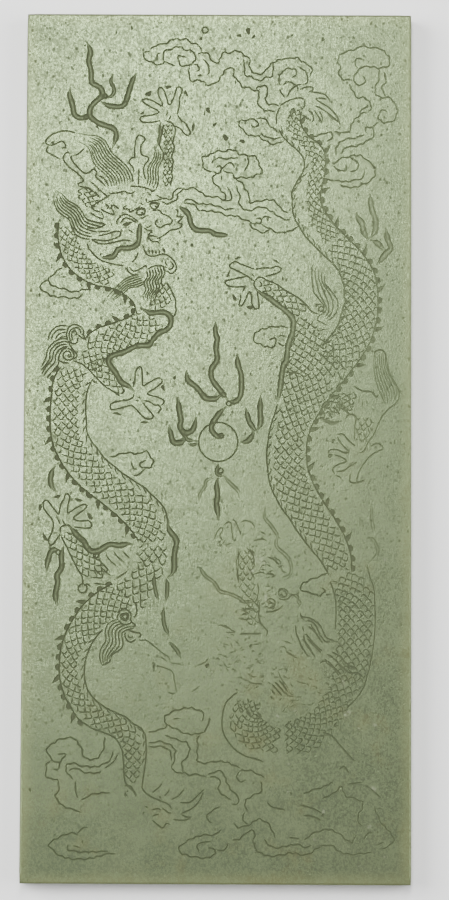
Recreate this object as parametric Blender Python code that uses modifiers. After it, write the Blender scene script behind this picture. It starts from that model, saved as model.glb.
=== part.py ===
"""A carved jade tablet, the cover leaf of a book made of jade leaves.

One thin slab of green jade lies on its back. Its upper face is engraved with two dragons, one
rising on the left and one coming down on the right, a flaming pearl between them and clouds
round about. The drawing's points are read on a sheet 128 units wide and 288 units long. The
picture keeps its proportions and lies centred on the slab, as large as the slab lets it be, and
its cuts grow and shrink with it.
Outlines, locks of hair, back fins, flames and scrolls are grooves cut into the face.
"""

import math

import bmesh
import bpy

# Sizes of the slab, in metres
LENGTH = 0.288
WIDTH = 0.128
THICKNESS = 0.009
ARRIS = 0.0007
ARRIS_STEPS = 2

# Sizes of the cuts, in metres, where a unit of the sheet is as long as DRAWN_UNIT
DRAWN_UNIT = 0.001
LINE_WIDTH = 0.0006
LINE_DEPTH = 0.00028
BAND_WIDTH = 0.0015
BAND_DEPTH = 0.0004
FIN_WIDTH = 0.0013
FIN_LENGTH = 0.0019
FIN_SPACING = 0.0038
FLATNESS = 0.00022

# The sheet that the drawing is read on
SHEET_WIDE = 128
SHEET_LONG = 288

JADE_GREEN = (0.20, 0.25, 0.18, 1.0)
JADE_ROUGHNESS = 0.32
JADE_IOR = 1.62


# The rising dragon, on the left
RISING_BACKS = (
    ((11, 218), (10.8, 214), (11.2, 210.3), (12.3, 206.4), (14.3, 202.9), (17.3, 200),
     (20.6, 198), (24, 196.7), (27.6, 196)),
    ((34.2, 192.8), (36, 190.2), (35.4, 187.6), (32.4, 185.6), (28, 184.2), (24.4, 182.5),
     (22, 180.8), (20.4, 179)),
    ((12.3, 169.5), (10.1, 166.4), (9.5, 162), (8.9, 157), (8.9, 150), (9.5, 146), (11.5, 140),
     (15.3, 134), (20.5, 128.8), (26.5, 124.4), (31.8, 119.8), (36.5, 114.8), (38.2, 112)),
    ((30, 98), (25, 95.3), (20.8, 91.6), (17.6, 87.3), (14, 80), (12.6, 73.5), (12.6, 68),
     (13.9, 62.5), (17.8, 55.9), (21.3, 52.2), (27, 49.3), (32, 46.8)),
)
RISING_BELLIES = (
    ((20.6, 211), (22.7, 207), (26.3, 204.4), (33, 203.4)),
    ((46.6, 198), (48.6, 194.8), (50, 191.5), (50.2, 188.5), (49.4, 186.3)),
    ((23.3, 166), (21, 161.6), (20.5, 156), (20.9, 149), (23.2, 143.8), (27, 139.2), (31, 135.9),
     (36.4, 132.3), (41, 128.7), (46, 124), (47.8, 120.2), (48, 117.8)),
    ((26.8, 83), (23.8, 79.5), (21.3, 73.5), (20.9, 68.7), (21.6, 63.6), (26.3, 58.3),
     (33.2, 54.8), (38, 51.6), (40.8, 48.5), (41.3, 43), (41, 39), (40.3, 35), (40, 31.5),
     (43.6, 28), (49.4, 25.3)),
)
RISING_LIMBS = (
    ((36.1, 239.2), (36.1, 243.5), (36.8, 246.5), (38.3, 247.1), (39.5, 245.7), (38.2, 243.8),
     (38.2, 241), (40.3, 239.8), (40.3, 237.9), (39, 236), (39.8, 232.3)),
    ((13.6, 241.3), (12.3, 239.5), (13.8, 236.8), (17.5, 233.8), (19.2, 231.6)),
    ((15.3, 240.2), (15.3, 238.2), (19.3, 234.3), (21.2, 234.6), (22.4, 235.8), (23.7, 234.3)),
    ((46, 252), (48.3, 251.3), (49.5, 248.3), (48.7, 244.8), (49.1, 241.3), (48.4, 239.8),
     (48.8, 236.5), (48.6, 233), (47.9, 229.9)),
    ((44.7, 251.5), (44.5, 247.5), (43.7, 243.6)),
    ((16.2, 171.6), (20, 169.8), (23, 167), (26.2, 164), (30, 161.2), (31.9, 159.9)),
    ((12.5, 113.8), (14.7, 109.4), (17.3, 104.7), (19.9, 100), (20, 97.6)),
    ((38.2, 79.8), (41, 79.5), (43.9, 77.3), (48.6, 73.8), (49, 72.4)),
)
RISING_PAWS = (
    ((44.5, 252.1), (41.5, 251.4), (38.2, 251.7), (38, 253.2), (41.3, 253.8), (44.2, 254.9),
     (41.5, 256.5), (38.6, 258.3), (39.8, 259.5), (42.8, 258.3), (45.2, 257)),
    ((45.2, 257), (44.2, 259.7), (43.6, 262.4), (45, 263.3), (46.6, 259.5), (47.4, 257.2),
     (48.6, 259), (50.3, 263.5), (51.8, 262.4), (50.9, 258), (50.1, 254)),
    ((50.1, 254), (52.6, 251.4), (54.5, 248.2), (53.2, 247.2), (51.2, 249.3), (49.3, 250.3)),
    ((34.5, 158.6), (31, 158.2), (28.8, 157.3), (28.9, 155.5), (33, 156), (35.7, 156.9),
     (38.9, 153.7), (41.6, 152.2), (42.9, 153), (40.8, 156), (39.3, 158)),
    ((39.7, 158.4), (42.1, 157.6), (44.7, 156.9), (46.2, 157.8), (43.8, 159.8), (41.1, 160.6),
     (42, 162.2), (44.8, 163.7), (45.6, 165.2), (44.3, 166.1), (41.2, 164.4), (39.3, 163.3)),
    ((39.3, 163.3), (39.2, 166.6), (38.8, 169.3), (37.3, 169.5), (36.5, 166.5), (36.3, 163)),
    ((12, 120.6), (9.9, 123), (8.6, 125.2), (6.8, 124.9), (7.5, 121.9), (10, 118.6), (9.9, 115.3),
     (8.6, 112.2), (9.5, 110.4), (11.2, 112.3), (12.4, 114.3)),
    ((12, 120.6), (12.8, 125), (14.1, 127.6), (15.5, 126.8), (14.8, 121.4), (17.2, 122.7),
     (20.8, 124.2), (20.7, 122.6), (16.8, 119.5), (20.3, 118.6), (22.9, 118.3), (22.2, 116.3),
     (16.6, 116.6)),
)
RISING_BANDS = (
    ((38.5, 189), (41.5, 187.7), (45.5, 188), (48.2, 186.5), (48.4, 184), (44.5, 181),
     (41.5, 177), (37, 176.5), (33, 174.6), (29, 173.3), (27.9, 172), (29.2, 169), (31.3, 166),
     (33.5, 163.8), (36.1, 162)),
    ((15.2, 117.3), (17.5, 114.4), (20.3, 111.8), (22.5, 108.8), (25.5, 109), (28.7, 110.9),
     (32, 110.6), (36.4, 110.9)),
    ((48, 119), (48.6, 115.6), (50.9, 112), (50.1, 107), (50, 103), (47.6, 99.6), (47.7, 94),
     (46.6, 88), (47, 84), (49.8, 77.8), (52.3, 74.6)),
    ((38, 217.3), (37.6, 212), (35.8, 209.6), (31, 209.1), (29.3, 206.6), (25.8, 206.1)),
    ((51.2, 223.1), (53.8, 220.9), (54.9, 217), (58, 215.2), (61.3, 215), (64.5, 213.8),
     (67, 213.6)),
)
RISING_FLAMES = (
    ((28.9, 243.3), (29.9, 247), (28.8, 249.6), (24.5, 250.9), (21.2, 253.6), (22.2, 257.6),
     (24.8, 260), (24, 263.4), (21.3, 266.2), (20.6, 272), (20.9, 276.4), (19.8, 278.4)),
    ((20.4, 253), (17.5, 252.9), (15.4, 256.4), (14.2, 260.5), (14.5, 263)),
    ((24.8, 258.4), (29.5, 256.6), (33, 258.4), (34.6, 263.9), (36.3, 268)),
    ((10.6, 136.6), (9.3, 134), (9.1, 131), (11.2, 128.4)),
    ((8.2, 102.3), (8.9, 106.2), (10.4, 109.2), (12.8, 108.8)),
    ((13.5, 110), (12.9, 106.8), (13, 103.4), (11.6, 100.5), (11.5, 96.5), (11.7, 91)),
)
RISING_FACE = (
    ((21.6, 223), (25.3, 225.6), (28, 227.2), (32.5, 228.1), (36.4, 228.4)),
    ((43.3, 227), (46.3, 225.7), (48.2, 225.8), (49.7, 228.8), (52, 229.5)),
    ((36.7, 221.1), (38.3, 222.7), (39.6, 222), (38.5, 220.4), (36.7, 221.1)),
    ((41.3, 224), (42.9, 222.3), (44.1, 224), (41.3, 224)),
    ((44.6, 221.9), (47.2, 220.1), (48.7, 218.5), (46.4, 217.1), (43.5, 216.6), (44, 219.2)),
    ((37.6, 218), (34.3, 220.2), (31.2, 219.9), (30.7, 217)),
    ((50, 222.4), (50.2, 219.7), (52.3, 219.9), (50.4, 217.8), (52, 217), (48.2, 215.3),
     (43.7, 212.4)),
    ((38.9, 210.3), (41.2, 206.7), (45.5, 207.3), (48.2, 205.9), (50.2, 202.6), (48.7, 200.8),
     (46.7, 201.8)),
)
RISING_LOCKS = (
    (((16.5, 247.8), (24, 246.7), (28.2, 241.6), (33.7, 236.3), (35.6, 231)),
     ((17.5, 244.8), (21.3, 241.6), (22.9, 237.2), (26.6, 233.6), (28.5, 229.8))),
    (((10, 228.3), (9.6, 224), (14.3, 218.8), (16.5, 213.9), (21.5, 212.2)),
     ((10.1, 228.4), (15.2, 224.4), (19, 220.9), (20.6, 218.6), (26.2, 217))),
    (((43.5, 243.7), (42.2, 239), (40.4, 235), (40.1, 230.2)),
     ((44, 243.6), (45.2, 238.6), (43.9, 234), (43, 228.6))),
    (((5.5, 168.6), (7.3, 172), (7.5, 175.8), (11.3, 178.7), (17.4, 177)),
     ((7.9, 166), (12, 170.3), (12.4, 174.6), (14.5, 177.4), (17.4, 173.6))),
    (((31.6, 86.2), (27.6, 83.6), (27.8, 79.3), (25.8, 75.6), (26.6, 71.2)),
     ((37, 83.8), (33.2, 81.6), (33.4, 77.8), (30.2, 74.8), (28.6, 72))),
    (((37.4, 199.2), (33, 198.3), (30, 195.5), (28.4, 193)),
     ((40.5, 202), (38.8, 197), (36.6, 194), (36.4, 191.6))),
)

# The dragon coming down, on the right
FALLING_BACKS = (
    ((92.4, 257.4), (91.3, 252.6), (94.3, 247), (98.5, 243.5), (100.1, 238), (98.9, 230.5),
     (98.2, 226), (100.6, 220.4), (106.8, 213.9), (113.3, 206.8), (116.6, 198), (116.8, 188),
     (114.8, 179), (110.2, 171.5), (104.5, 164), (99, 156), (94.8, 148), (93.4, 141), (95, 133),
     (99.7, 124), (105.5, 115), (108.2, 107), (108.2, 101)),
)
FALLING_BELLIES = (
    ((84.3, 256.8), (83.1, 252), (85, 247.2), (90, 242.4), (92.6, 237.5), (90.6, 232.8),
     (88.3, 227.6), (89, 220.5), (92.4, 214.4), (98.1, 207.9), (104, 201.7), (105.8, 197),
     (105.6, 190), (102.3, 181.5), (98.5, 176.8)),
    ((84, 157.6), (81.6, 150), (80.5, 141), (81.2, 132), (85.6, 122.6), (90, 116.2),
     (95.2, 109.3), (100.2, 102.5), (103, 93), (103, 83.5)),
    ((113.8, 104.5), (115.8, 95), (116.1, 86), (115.2, 75), (112.2, 64), (106.5, 57.4)),
    ((66.8, 47.6), (66, 52), (67, 59), (71, 62.7)),
)
FALLING_LIMBS = (
    ((76, 198.4), (78, 199.8), (81.5, 198), (85.5, 196), (89.5, 194), (94.1, 189), (97.2, 187.5)),
    ((115.9, 173.6), (117, 175.8), (119.4, 174.4), (120.2, 170), (122.9, 164.2), (124, 160.4),
     (120.4, 156), (116.6, 150), (114.4, 146)),
    ((99, 49.8), (102, 48.5), (104.6, 45.4), (109.4, 40.4)),
)
FALLING_PAWS = (
    ((84.8, 203), (82, 202.9), (76.2, 202.4), (72.8, 203.8), (69.6, 204.9), (67.8, 203.6),
     (70.5, 201.7), (74, 199.6), (70.8, 199.3), (66.5, 198.3), (67.2, 196.8), (69.8, 196.4),
     (72.7, 196.6), (71.9, 194.6)),
    ((84.8, 203), (84.6, 201.6), (82.4, 200.5), (79.3, 199.8)),
    ((71.4, 194), (71, 191.2), (71.8, 190), (73, 192.4), (74.4, 195), (75.2, 192.6),
     (76, 189.4), (77.4, 189), (77.6, 191.2), (76.9, 195)),
    ((110, 144.2), (107.3, 145.4), (104.6, 148), (103.4, 147), (105.6, 143.9), (107.3, 142.2),
     (104.6, 142.5), (101, 142.1), (102.8, 140.5), (106.6, 138.9), (104.2, 137.8), (102, 135.6),
     (103.2, 134.6), (106.5, 136.6), (110, 138.4)),
    ((114.4, 143.6), (117.4, 144.7), (118.4, 142.6), (114, 140.2), (111, 136), (110.4, 132.2),
     (108, 132), (107.6, 134.6)),
)
FALLING_BANDS = (
    ((76.8, 195.4), (80.3, 193.3), (85, 190), (88.6, 186.6), (88.9, 183), (87.2, 177),
     (86.7, 171.8), (85, 168), (84.6, 162), (84, 158.4)),
    ((80, 123.4), (79.8, 120.2), (82, 117.2), (83.8, 113.6), (83.8, 110.6), (87.5, 107),
     (88.8, 104), (88.3, 101)),
    ((57.8, 103.9), (60.2, 101), (63.2, 98), (66.4, 95.1), (70, 94.3), (73, 92.3), (75.4, 92.8)),
    ((97.5, 153.1), (100.8, 151.6), (104.6, 152.3)),
)
FALLING_FLAMES = (
    ((114.1, 227.8), (114.9, 222.5), (116.4, 217.8), (115, 213.6), (113.6, 211.9)),
    ((109.8, 221.5), (111.9, 217), (112.2, 213.6), (114.6, 212.2), (118.4, 209.6)),
    ((119.5, 216.2), (120.2, 212.4), (121.3, 209.6), (119.4, 206.8), (116.5, 204)),
    ((114, 113.2), (116.8, 110.6), (116.2, 107.2), (113.6, 105)),
    ((115, 125), (115, 119)),
    ((110.7, 121), (111.1, 115.5)),
)
FALLING_FACE = (
    ((63.4, 113.2), (64.8, 116.2), (67.5, 118.4), (70.3, 118.6), (73.8, 118.9), (76.2, 117.4)),
    ((68.6, 118.2), (69, 115), (69.6, 112.2)),
    ((70.4, 106.4), (71, 101), (72.6, 97), (74.6, 93)),
    ((77.8, 93.5), (78, 88), (79.8, 84.2), (81.2, 81.6), (80, 80.6)),
    ((76.5, 101.2), (79.5, 102.3), (82.4, 101.2), (83.6, 99.4)),
)
FALLING_LOCKS = (
    (((95.6, 204.2), (95.2, 198.4), (98.4, 191.4), (99, 188.4)),
     ((99.3, 200.8), (99.5, 197.6), (103.8, 190.8), (100.2, 185.3))),
    (((93.3, 87.3), (97.4, 85.2), (99.8, 81), (103, 79.4)),
     ((90.2, 84.6), (90.9, 79.6), (94.4, 75.2), (97, 72.6))),
    (((116, 173), (116.4, 167), (118.4, 161), (119.4, 157.4)),
     ((119, 173), (120.4, 166.4), (122.8, 161.6), (121.6, 158.2))),
)

# The pearl's own flames, and where its ball lies
PEARL_CENTRE = (64.3, 144.9)
PEARL_RADIUS = 6.45
PEARL_FLAMES = (
    ((63.2, 184.8), (63.2, 181), (63.6, 176.4), (63.8, 172.6), (61.9, 168.6), (63.2, 164),
     (65.6, 161.3), (67.3, 159)),
    ((53.6, 168.7), (54.1, 165.3), (57, 163), (59.3, 160.2), (62, 159), (65, 160)),
    ((70.4, 174.3), (70.7, 170.5), (71.8, 166.6), (71.7, 161), (70, 158.3), (67.3, 158.4)),
    ((66.8, 156.6), (64.3, 154), (62.2, 150.4), (62.8, 147.4), (65.4, 146.4)),
    ((50.9, 159.7), (51.3, 156), (52, 153), (51.7, 149.8), (53.4, 147.9), (55.9, 148.8),
     (57, 153)),
    ((48, 150.3), (48.9, 147), (50.3, 144.6), (53.2, 145.2)),
    ((73.3, 156.2), (74.3, 152.3), (76, 149.6), (77.8, 150.4), (78.1, 155.5), (78.2, 160.3)),
    ((71.5, 145), (74, 145.2), (75.8, 148.6)),
    ((64.4, 133), (63.9, 129), (63.9, 123), (64.2, 119)),
    ((62.6, 133.4), (60.3, 132), (58.5, 128), (58.4, 124.8)),
    ((66.6, 134), (68.4, 130.8), (71.2, 128.4), (71.3, 126.6)),
)

# Clouds
CLOUDS = (
    ((45.8, 271.4), (43, 270.9), (39.4, 272.8), (39.5, 275.2), (43.2, 277.3), (47, 278.4),
     (49.5, 279.6), (53, 279.3), (56, 278), (58, 275.4)),
    ((57, 274.4), (59.2, 275), (61.8, 272.1), (63.2, 271.4), (64.7, 274.4), (67, 274.8),
     (70.5, 275.5), (73.2, 273.8), (74.1, 270.8), (77, 267.8), (80.2, 270), (82.8, 272.2),
     (86, 273.2), (89.6, 273.5), (93.6, 271.2), (94.8, 269), (94.2, 267.2)),
    ((46, 272), (45.4, 274.4), (50, 277), (55.4, 275), (55.8, 272), (52.4, 270.5), (50.1, 272.8),
     (52.2, 273.8)),
    ((54.1, 270.4), (54, 266.4), (57.8, 265.6), (61.3, 264.1), (64.5, 266.8), (67.5, 270),
     (69.6, 266.1), (72, 263.4), (76.5, 262.3), (77, 258.8), (79.3, 255.7), (83, 255.3)),
    ((76.4, 262.5), (78.2, 263.6), (80.2, 262.4), (79.6, 258.3), (84, 257.4)),
    ((72, 272.6), (72.4, 268.4), (77, 265.7), (81.2, 267), (82, 271.4)),
    ((84.4, 264.1), (83.7, 266), (86.1, 269.6), (89.6, 269), (88, 266.9)),
    ((84.2, 248.4), (81.2, 250), (78.4, 253.2), (75, 252.6), (71, 252.4), (71.2, 250),
     (74, 247.3), (78.3, 246.3), (81.6, 244.3), (85.2, 245.2)),
    ((112.2, 277.6), (107, 275.9), (103.6, 273.2), (104.1, 270.6), (104, 267.4), (108.3, 266)),
    ((112.2, 277.6), (117.5, 276.7), (120.8, 273.1), (119, 270.3), (113.5, 270.5), (109.2, 268),
     (109, 265), (112.4, 264.9), (112, 267)),
    ((107.4, 264.6), (108.9, 261.2), (113.8, 259.4), (114.4, 255.8), (110.8, 254.2),
     (108.2, 251.9), (107, 248.4), (102.3, 248.5)),
    ((117.2, 269.6), (116.2, 263), (120.5, 260), (123.3, 255.4), (120.3, 251.7), (117, 253.6),
     (119.2, 255.8)),
    ((117, 252.2), (113, 250.2), (115.6, 247.4), (110.3, 244.4), (105, 243.1), (104.8, 241)),
    ((112.4, 247.6), (106.6, 246), (103.2, 243.4), (102.8, 240.2)),
    ((102.2, 238.6), (108.5, 241), (113, 239), (115.9, 235), (112.2, 230.7), (107, 229.9),
     (104.3, 230.9)),
    ((69, 242.2), (61.5, 241), (58.3, 238.7), (61, 235), (64.3, 234.5), (67.3, 238),
     (69.2, 236.3)),
    ((69, 242.2), (72.3, 240.7), (76.5, 239.8), (78.3, 235.4), (73.6, 232.9), (68.8, 233.9)),
    ((62.3, 234), (62.8, 231), (66.6, 226.8), (64.3, 225.9), (59.6, 226.6), (56, 229.2),
     (51.3, 228.3), (49.4, 225), (45.6, 224.6)),
    ((68.7, 233.2), (72.6, 230.2), (74.2, 226.8), (75.3, 224.5), (80, 225.3), (84, 223.4),
     (87, 221.4)),
    ((69.9, 230.4), (71, 225), (74.2, 222), (78.2, 223.3), (83, 220.4), (87, 219)),
    ((69.2, 222.6), (64.5, 222.8), (60.3, 223.8), (54.4, 225.7), (55.9, 223), (61.2, 222),
     (66.5, 220.4), (71.8, 219.1), (77.3, 217.6), (78, 220)),
    ((74.2, 217.8), (76.8, 215.8), (80, 214.6), (81.2, 216), (83.5, 214.7), (87.5, 215.1),
     (90.2, 216.8)),
    ((12.5, 202.7), (8, 198.6), (10.7, 196.4), (14.8, 195.4), (18.4, 195), (21.8, 195.4)),
    ((7.6, 198.7), (5, 196), (9, 193.1), (14.8, 192.2), (17.6, 192.5), (19.2, 194.1)),
    ((87, 183), (82.5, 183.5), (76.4, 181.2), (76, 178), (80.4, 176.4), (83.4, 178.2),
     (81, 179.4)),
    ((28.3, 139.7), (32, 140.1), (34.4, 141.2), (37.5, 140.8), (41, 141.4), (43, 138.6),
     (40.6, 136), (38.7, 138), (40.6, 138.7)),
    ((22, 40.6), (20, 44), (17, 47.4), (12.6, 46.7), (8.8, 44), (10.3, 40.2), (13.8, 39.9),
     (14.6, 42.2), (12.4, 42.4)),
    ((22, 40.6), (25.7, 41.2), (27.5, 45), (27.7, 48)),
    ((10.2, 40), (8.6, 37.5), (8.8, 34.7), (12.2, 33.6), (12.6, 31), (11.6, 28.8), (14.2, 25),
     (20, 23.3)),
    ((29.6, 40.5), (24.2, 37.8), (17.8, 39.5), (15, 36.8), (17.2, 34)),
    ((19, 15.8), (16, 16.7), (12.3, 15), (9.8, 12.5), (13, 10), (17, 8.8), (20.6, 8), (26, 8.8),
     (31.4, 9.9)),
    ((42, 49.5), (48, 52), (48.4, 55.4), (54, 57.7), (59, 56.2), (60, 54.2)),
    ((48, 52), (52.6, 50), (59.3, 49.5), (61.8, 54)),
    ((47.4, 48.5), (52.3, 46.1), (55.6, 44), (53, 39.2), (55.4, 35.3), (61, 35)),
    ((58.9, 48.5), (58.3, 43), (60.2, 39.4), (64.2, 40), (67.8, 39.6), (71.8, 38), (76, 36.8),
     (80, 34.8)),
    ((42, 45.9), (48.6, 45.9), (51, 42.4), (50, 37), (53.5, 36)),
    ((61.5, 35.8), (66, 36.7), (68, 31.4), (71.7, 28), (69.4, 26.2)),
    ((62.2, 34.9), (65.4, 33.6), (65.1, 30.2), (69.2, 27.5)),
    ((72, 37), (71.3, 33.9), (73.8, 34)),
    ((79.2, 32.6), (76.4, 28.8), (73.6, 27), (74.8, 24.5), (72.9, 21.8), (75.3, 19.6)),
    ((65.8, 17.8), (64, 16.3), (59, 15.8), (53.4, 13.3), (52.4, 10.4), (57.8, 9), (62.2, 8.7),
     (63.8, 11), (61.6, 11.9)),
    ((69.9, 20), (72.4, 18.4), (78.2, 21.3), (82.4, 18.2), (83.6, 15)),
    ((69.6, 14.5), (75.4, 17.3), (76.6, 12.8), (80.2, 9.6), (86.4, 9.8), (90.6, 10), (95.2, 10.2),
     (100.6, 13.1), (106.3, 9.8), (111, 10.9), (115, 10.7)),
    ((80, 14.8), (83.8, 12), (89, 13.4), (93, 12.2)),
    ((93, 14.6), (97, 17.2), (103, 18), (108.4, 13.8), (109.9, 16.4)),
    ((106, 31.8), (107.6, 28.4), (112.2, 26.8), (110.3, 21.6), (112.6, 19)),
    ((101, 101.6), (96.5, 100), (91.6, 97.6), (95.2, 95.3), (99, 94.6), (99.2, 97.4)),
)

# The fan at the end of each tail
TAIL_FANS = (
    ((46.4, 32.6), (43.3, 29.7)),
    ((49, 31.2), (47.4, 28.4)),
    ((53.6, 30.8), (49.6, 27.6)),
    ((60.2, 30.7), (56.6, 27.6), (52.4, 26.6)),
    ((60, 29.6), (56.8, 25), (52.8, 23.1)),
    ((55.6, 21.8), (50.3, 21.1)),
    ((101, 258.7), (99.8, 260.5), (94.5, 262)),
    ((104.2, 250.8), (101.3, 256), (96.2, 259.4)),
    ((104, 251.6), (99.6, 255.4), (96.1, 257.2)),
    ((98.2, 251.8), (95.7, 255.6)),
)


def picture_unit():
    """How long a unit of the sheet is on the slab: the whole sheet just fits on it."""
    return min(WIDTH / SHEET_WIDE, LENGTH / SHEET_LONG)


def place(point, height):
    """A point of the sheet as metres on the slab, the sheet's middle on the slab's."""
    unit = picture_unit()
    return (
        (point[0] - SHEET_WIDE / 2) * unit,
        (point[1] - SHEET_LONG / 2) * unit,
        height,
    )


def smooth(points, steps=6):
    """A curve through all the points, each span bending evenly into the next."""
    if len(points) < 3:
        return [tuple(point) for point in points]
    closed = points[0] == points[-1]
    before = points[-2] if closed else points[0]
    after = points[1] if closed else points[-1]
    run = [before, *points, after]
    curve = []
    for a, b, c, d in zip(run, run[1:], run[2:], run[3:]):
        for step in range(steps):
            t = step / steps
            curve.append(tuple(
                0.5 * (2 * b[k] + (c[k] - a[k]) * t + (2 * a[k] - 5 * b[k] + 4 * c[k] - d[k]) * t**2
                       + (3 * b[k] - a[k] - 3 * c[k] + d[k]) * t**3)
                for k in range(2)
            ))
    curve.append(tuple(points[-1]))
    return curve


def off_chord(point, start, end):
    """How far a point lies from the straight run between two others."""
    run = (end[0] - start[0], end[1] - start[1])
    across = (point[0] - start[0], point[1] - start[1])
    length = math.hypot(*run)
    if length == 0:
        return math.hypot(*across)
    return abs(run[0] * across[1] - run[1] * across[0]) / length


def thin_out(curve, slack):
    """The curve with only the points that keep it within the slack of its true line."""
    if len(curve) < 3:
        return curve
    bows = [off_chord(point, curve[0], curve[-1]) for point in curve[1:-1]]
    widest = max(bows)
    if widest <= slack:
        return [curve[0], curve[-1]]
    turn = bows.index(widest) + 1
    return thin_out(curve[:turn + 1], slack)[:-1] + thin_out(curve[turn:], slack)


def along(points):
    """A drawn line in its final form on the sheet, no finer than the work needs."""
    curve = smooth(points)
    slack = FLATNESS / DRAWN_UNIT
    if curve[0] == curve[-1]:
        half = len(curve) // 2
        return thin_out(curve[:half + 1], slack)[:-1] + thin_out(curve[half:], slack)
    return thin_out(curve, slack)


def locks(outer, inner, count):
    """Strands of hair that fan evenly from one border of a lock to the other."""
    outer_curve = smooth(outer)
    inner_curve = smooth(inner)
    samples = min(len(outer_curve), len(inner_curve))
    strands = []
    for strand in range(count):
        share = strand / (count - 1)
        points = []
        for step in range(0, samples, 3):
            a = outer_curve[step * (len(outer_curve) - 1) // (samples - 1)]
            b = inner_curve[step * (len(inner_curve) - 1) // (samples - 1)]
            points.append((a[0] + (b[0] - a[0]) * share, a[1] + (b[1] - a[1]) * share))
        strands.append(points)
    return strands


def ring(centre, radius, sides):
    """A closed round line."""
    turns = [2 * math.pi * side / sides for side in range(sides + 1)]
    return [(centre[0] + radius * math.cos(t), centre[1] + radius * math.sin(t)) for t in turns]


def fins(edge):
    """Short fat cuts in a row just outside a dragon's back, on the right hand of its run."""
    curve = smooth(edge, steps=12)
    spacing = FIN_SPACING / DRAWN_UNIT
    reach = FIN_LENGTH / DRAWN_UNIT / 2
    offset = FIN_WIDTH / DRAWN_UNIT / 2
    cuts = []
    travelled = 0.0
    for a, b in zip(curve, curve[1:]):
        step = math.dist(a, b)
        travelled += step
        if travelled < spacing or step == 0:
            continue
        travelled -= spacing
        heading = ((b[0] - a[0]) / step, (b[1] - a[1]) / step)
        side = (heading[1] * offset, -heading[0] * offset)
        cuts.append([
            (b[0] + side[0] + heading[0] * reach * k, b[1] + side[1] + heading[1] * reach * k)
            for k in (-1, 0, 1)
        ])
    return cuts


def groove_cutter(name, paths, width, depth, ends, cutters):
    """One cutter for a family of grooves: four-sided bars that taper at both ends."""
    curve = bpy.data.curves.new(name, "CURVE")
    curve.dimensions = "3D"
    curve.twist_mode = "Z_UP"
    curve.bevel_depth = width / 2
    curve.bevel_resolution = 0
    curve.use_fill_caps = True
    for path in paths:
        spline = curve.splines.new("POLY")
        closed = math.dist(path[0], path[-1]) < 1e-9
        points = path[:-1] if closed else path
        spline.points.add(len(points) - 1)
        spline.use_cyclic_u = closed
        for index, (slot, point) in enumerate(zip(spline.points, points)):
            slot.co = (*place(point, 0.0), 1.0)
            at_end = index in (0, len(points) - 1) and not closed
            slot.radius = ends if at_end else 1.0
    bars = bpy.data.objects.new(name, curve)
    bpy.context.scene.collection.objects.link(bars)
    evaluated = bars.evaluated_get(bpy.context.evaluated_depsgraph_get())
    mesh = bpy.data.meshes.new_from_object(evaluated)
    bpy.data.objects.remove(bars)
    form = bmesh.new()
    form.from_mesh(mesh)
    bmesh.ops.remove_doubles(form, verts=form.verts, dist=1e-6)
    bmesh.ops.recalc_face_normals(form, faces=form.faces)
    for vertex in form.verts:
        vertex.co.z = THICKNESS + vertex.co.z * depth / (width / 2)
    form.to_mesh(mesh)
    form.free()
    cutter = bpy.data.objects.new(name, mesh)
    cutter.hide_render = True
    cutter.display_type = "WIRE"
    cutters.objects.link(cutter)
    return cutter


def jade():
    """Polished green jade."""
    material = bpy.data.materials.new("green jade")
    material.use_nodes = True
    shader = material.node_tree.nodes["Principled BSDF"]
    shader.inputs["Base Color"].default_value = JADE_GREEN
    shader.inputs["Roughness"].default_value = JADE_ROUGHNESS
    shader.inputs["Metallic"].default_value = 0.0
    shader.inputs["IOR"].default_value = JADE_IOR
    return material


def slab(collection):
    """The plain tablet before carving, standing on z = 0 with its small rounded arris."""
    bpy.ops.mesh.primitive_cube_add(size=1.0, location=(0.0, 0.0, THICKNESS / 2))
    tablet = bpy.context.active_object
    tablet.name = "cover_slab"
    tablet.dimensions = (WIDTH, LENGTH, THICKNESS)
    bpy.ops.object.transform_apply(location=True, rotation=False, scale=True)
    for owner in list(tablet.users_collection):
        owner.objects.unlink(tablet)
    collection.objects.link(tablet)
    rounding = tablet.modifiers.new("arris", "BEVEL")
    rounding.width = ARRIS
    rounding.segments = ARRIS_STEPS
    rounding.limit_method = "ANGLE"
    tablet.data.materials.append(jade())
    return tablet


def engraved_lines():
    """Every thin line of the drawing, as paths on the sheet."""
    drawn = (RISING_BACKS + RISING_BELLIES + RISING_LIMBS + RISING_PAWS + RISING_FACE
             + FALLING_BACKS + FALLING_BELLIES + FALLING_LIMBS + FALLING_PAWS + FALLING_FACE
             + CLOUDS + TAIL_FANS)
    paths = [along(points) for points in drawn]
    for outer, inner in RISING_LOCKS + FALLING_LOCKS:
        paths += [along(strand) for strand in locks(outer, inner, 4)]
    paths.append(ring(PEARL_CENTRE, PEARL_RADIUS, 24))
    return paths


def engraved_bands():
    """Every broad cut: flames, whiskers and the fringes under bellies and limbs."""
    drawn = RISING_BANDS + RISING_FLAMES + FALLING_BANDS + FALLING_FLAMES + PEARL_FLAMES
    return [along(points) for points in drawn]


def back_fins():
    """The fins of both dragons, on the right hand of each back's run."""
    cuts = []
    for edge in RISING_BACKS:
        cuts += fins(edge)
    for edge in FALLING_BACKS:
        cuts += fins(edge[::-1])
    return cuts


def clear_scene():
    """Take away whatever the new file starts with."""
    for thing in list(bpy.data.objects):
        bpy.data.objects.remove(thing)


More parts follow.
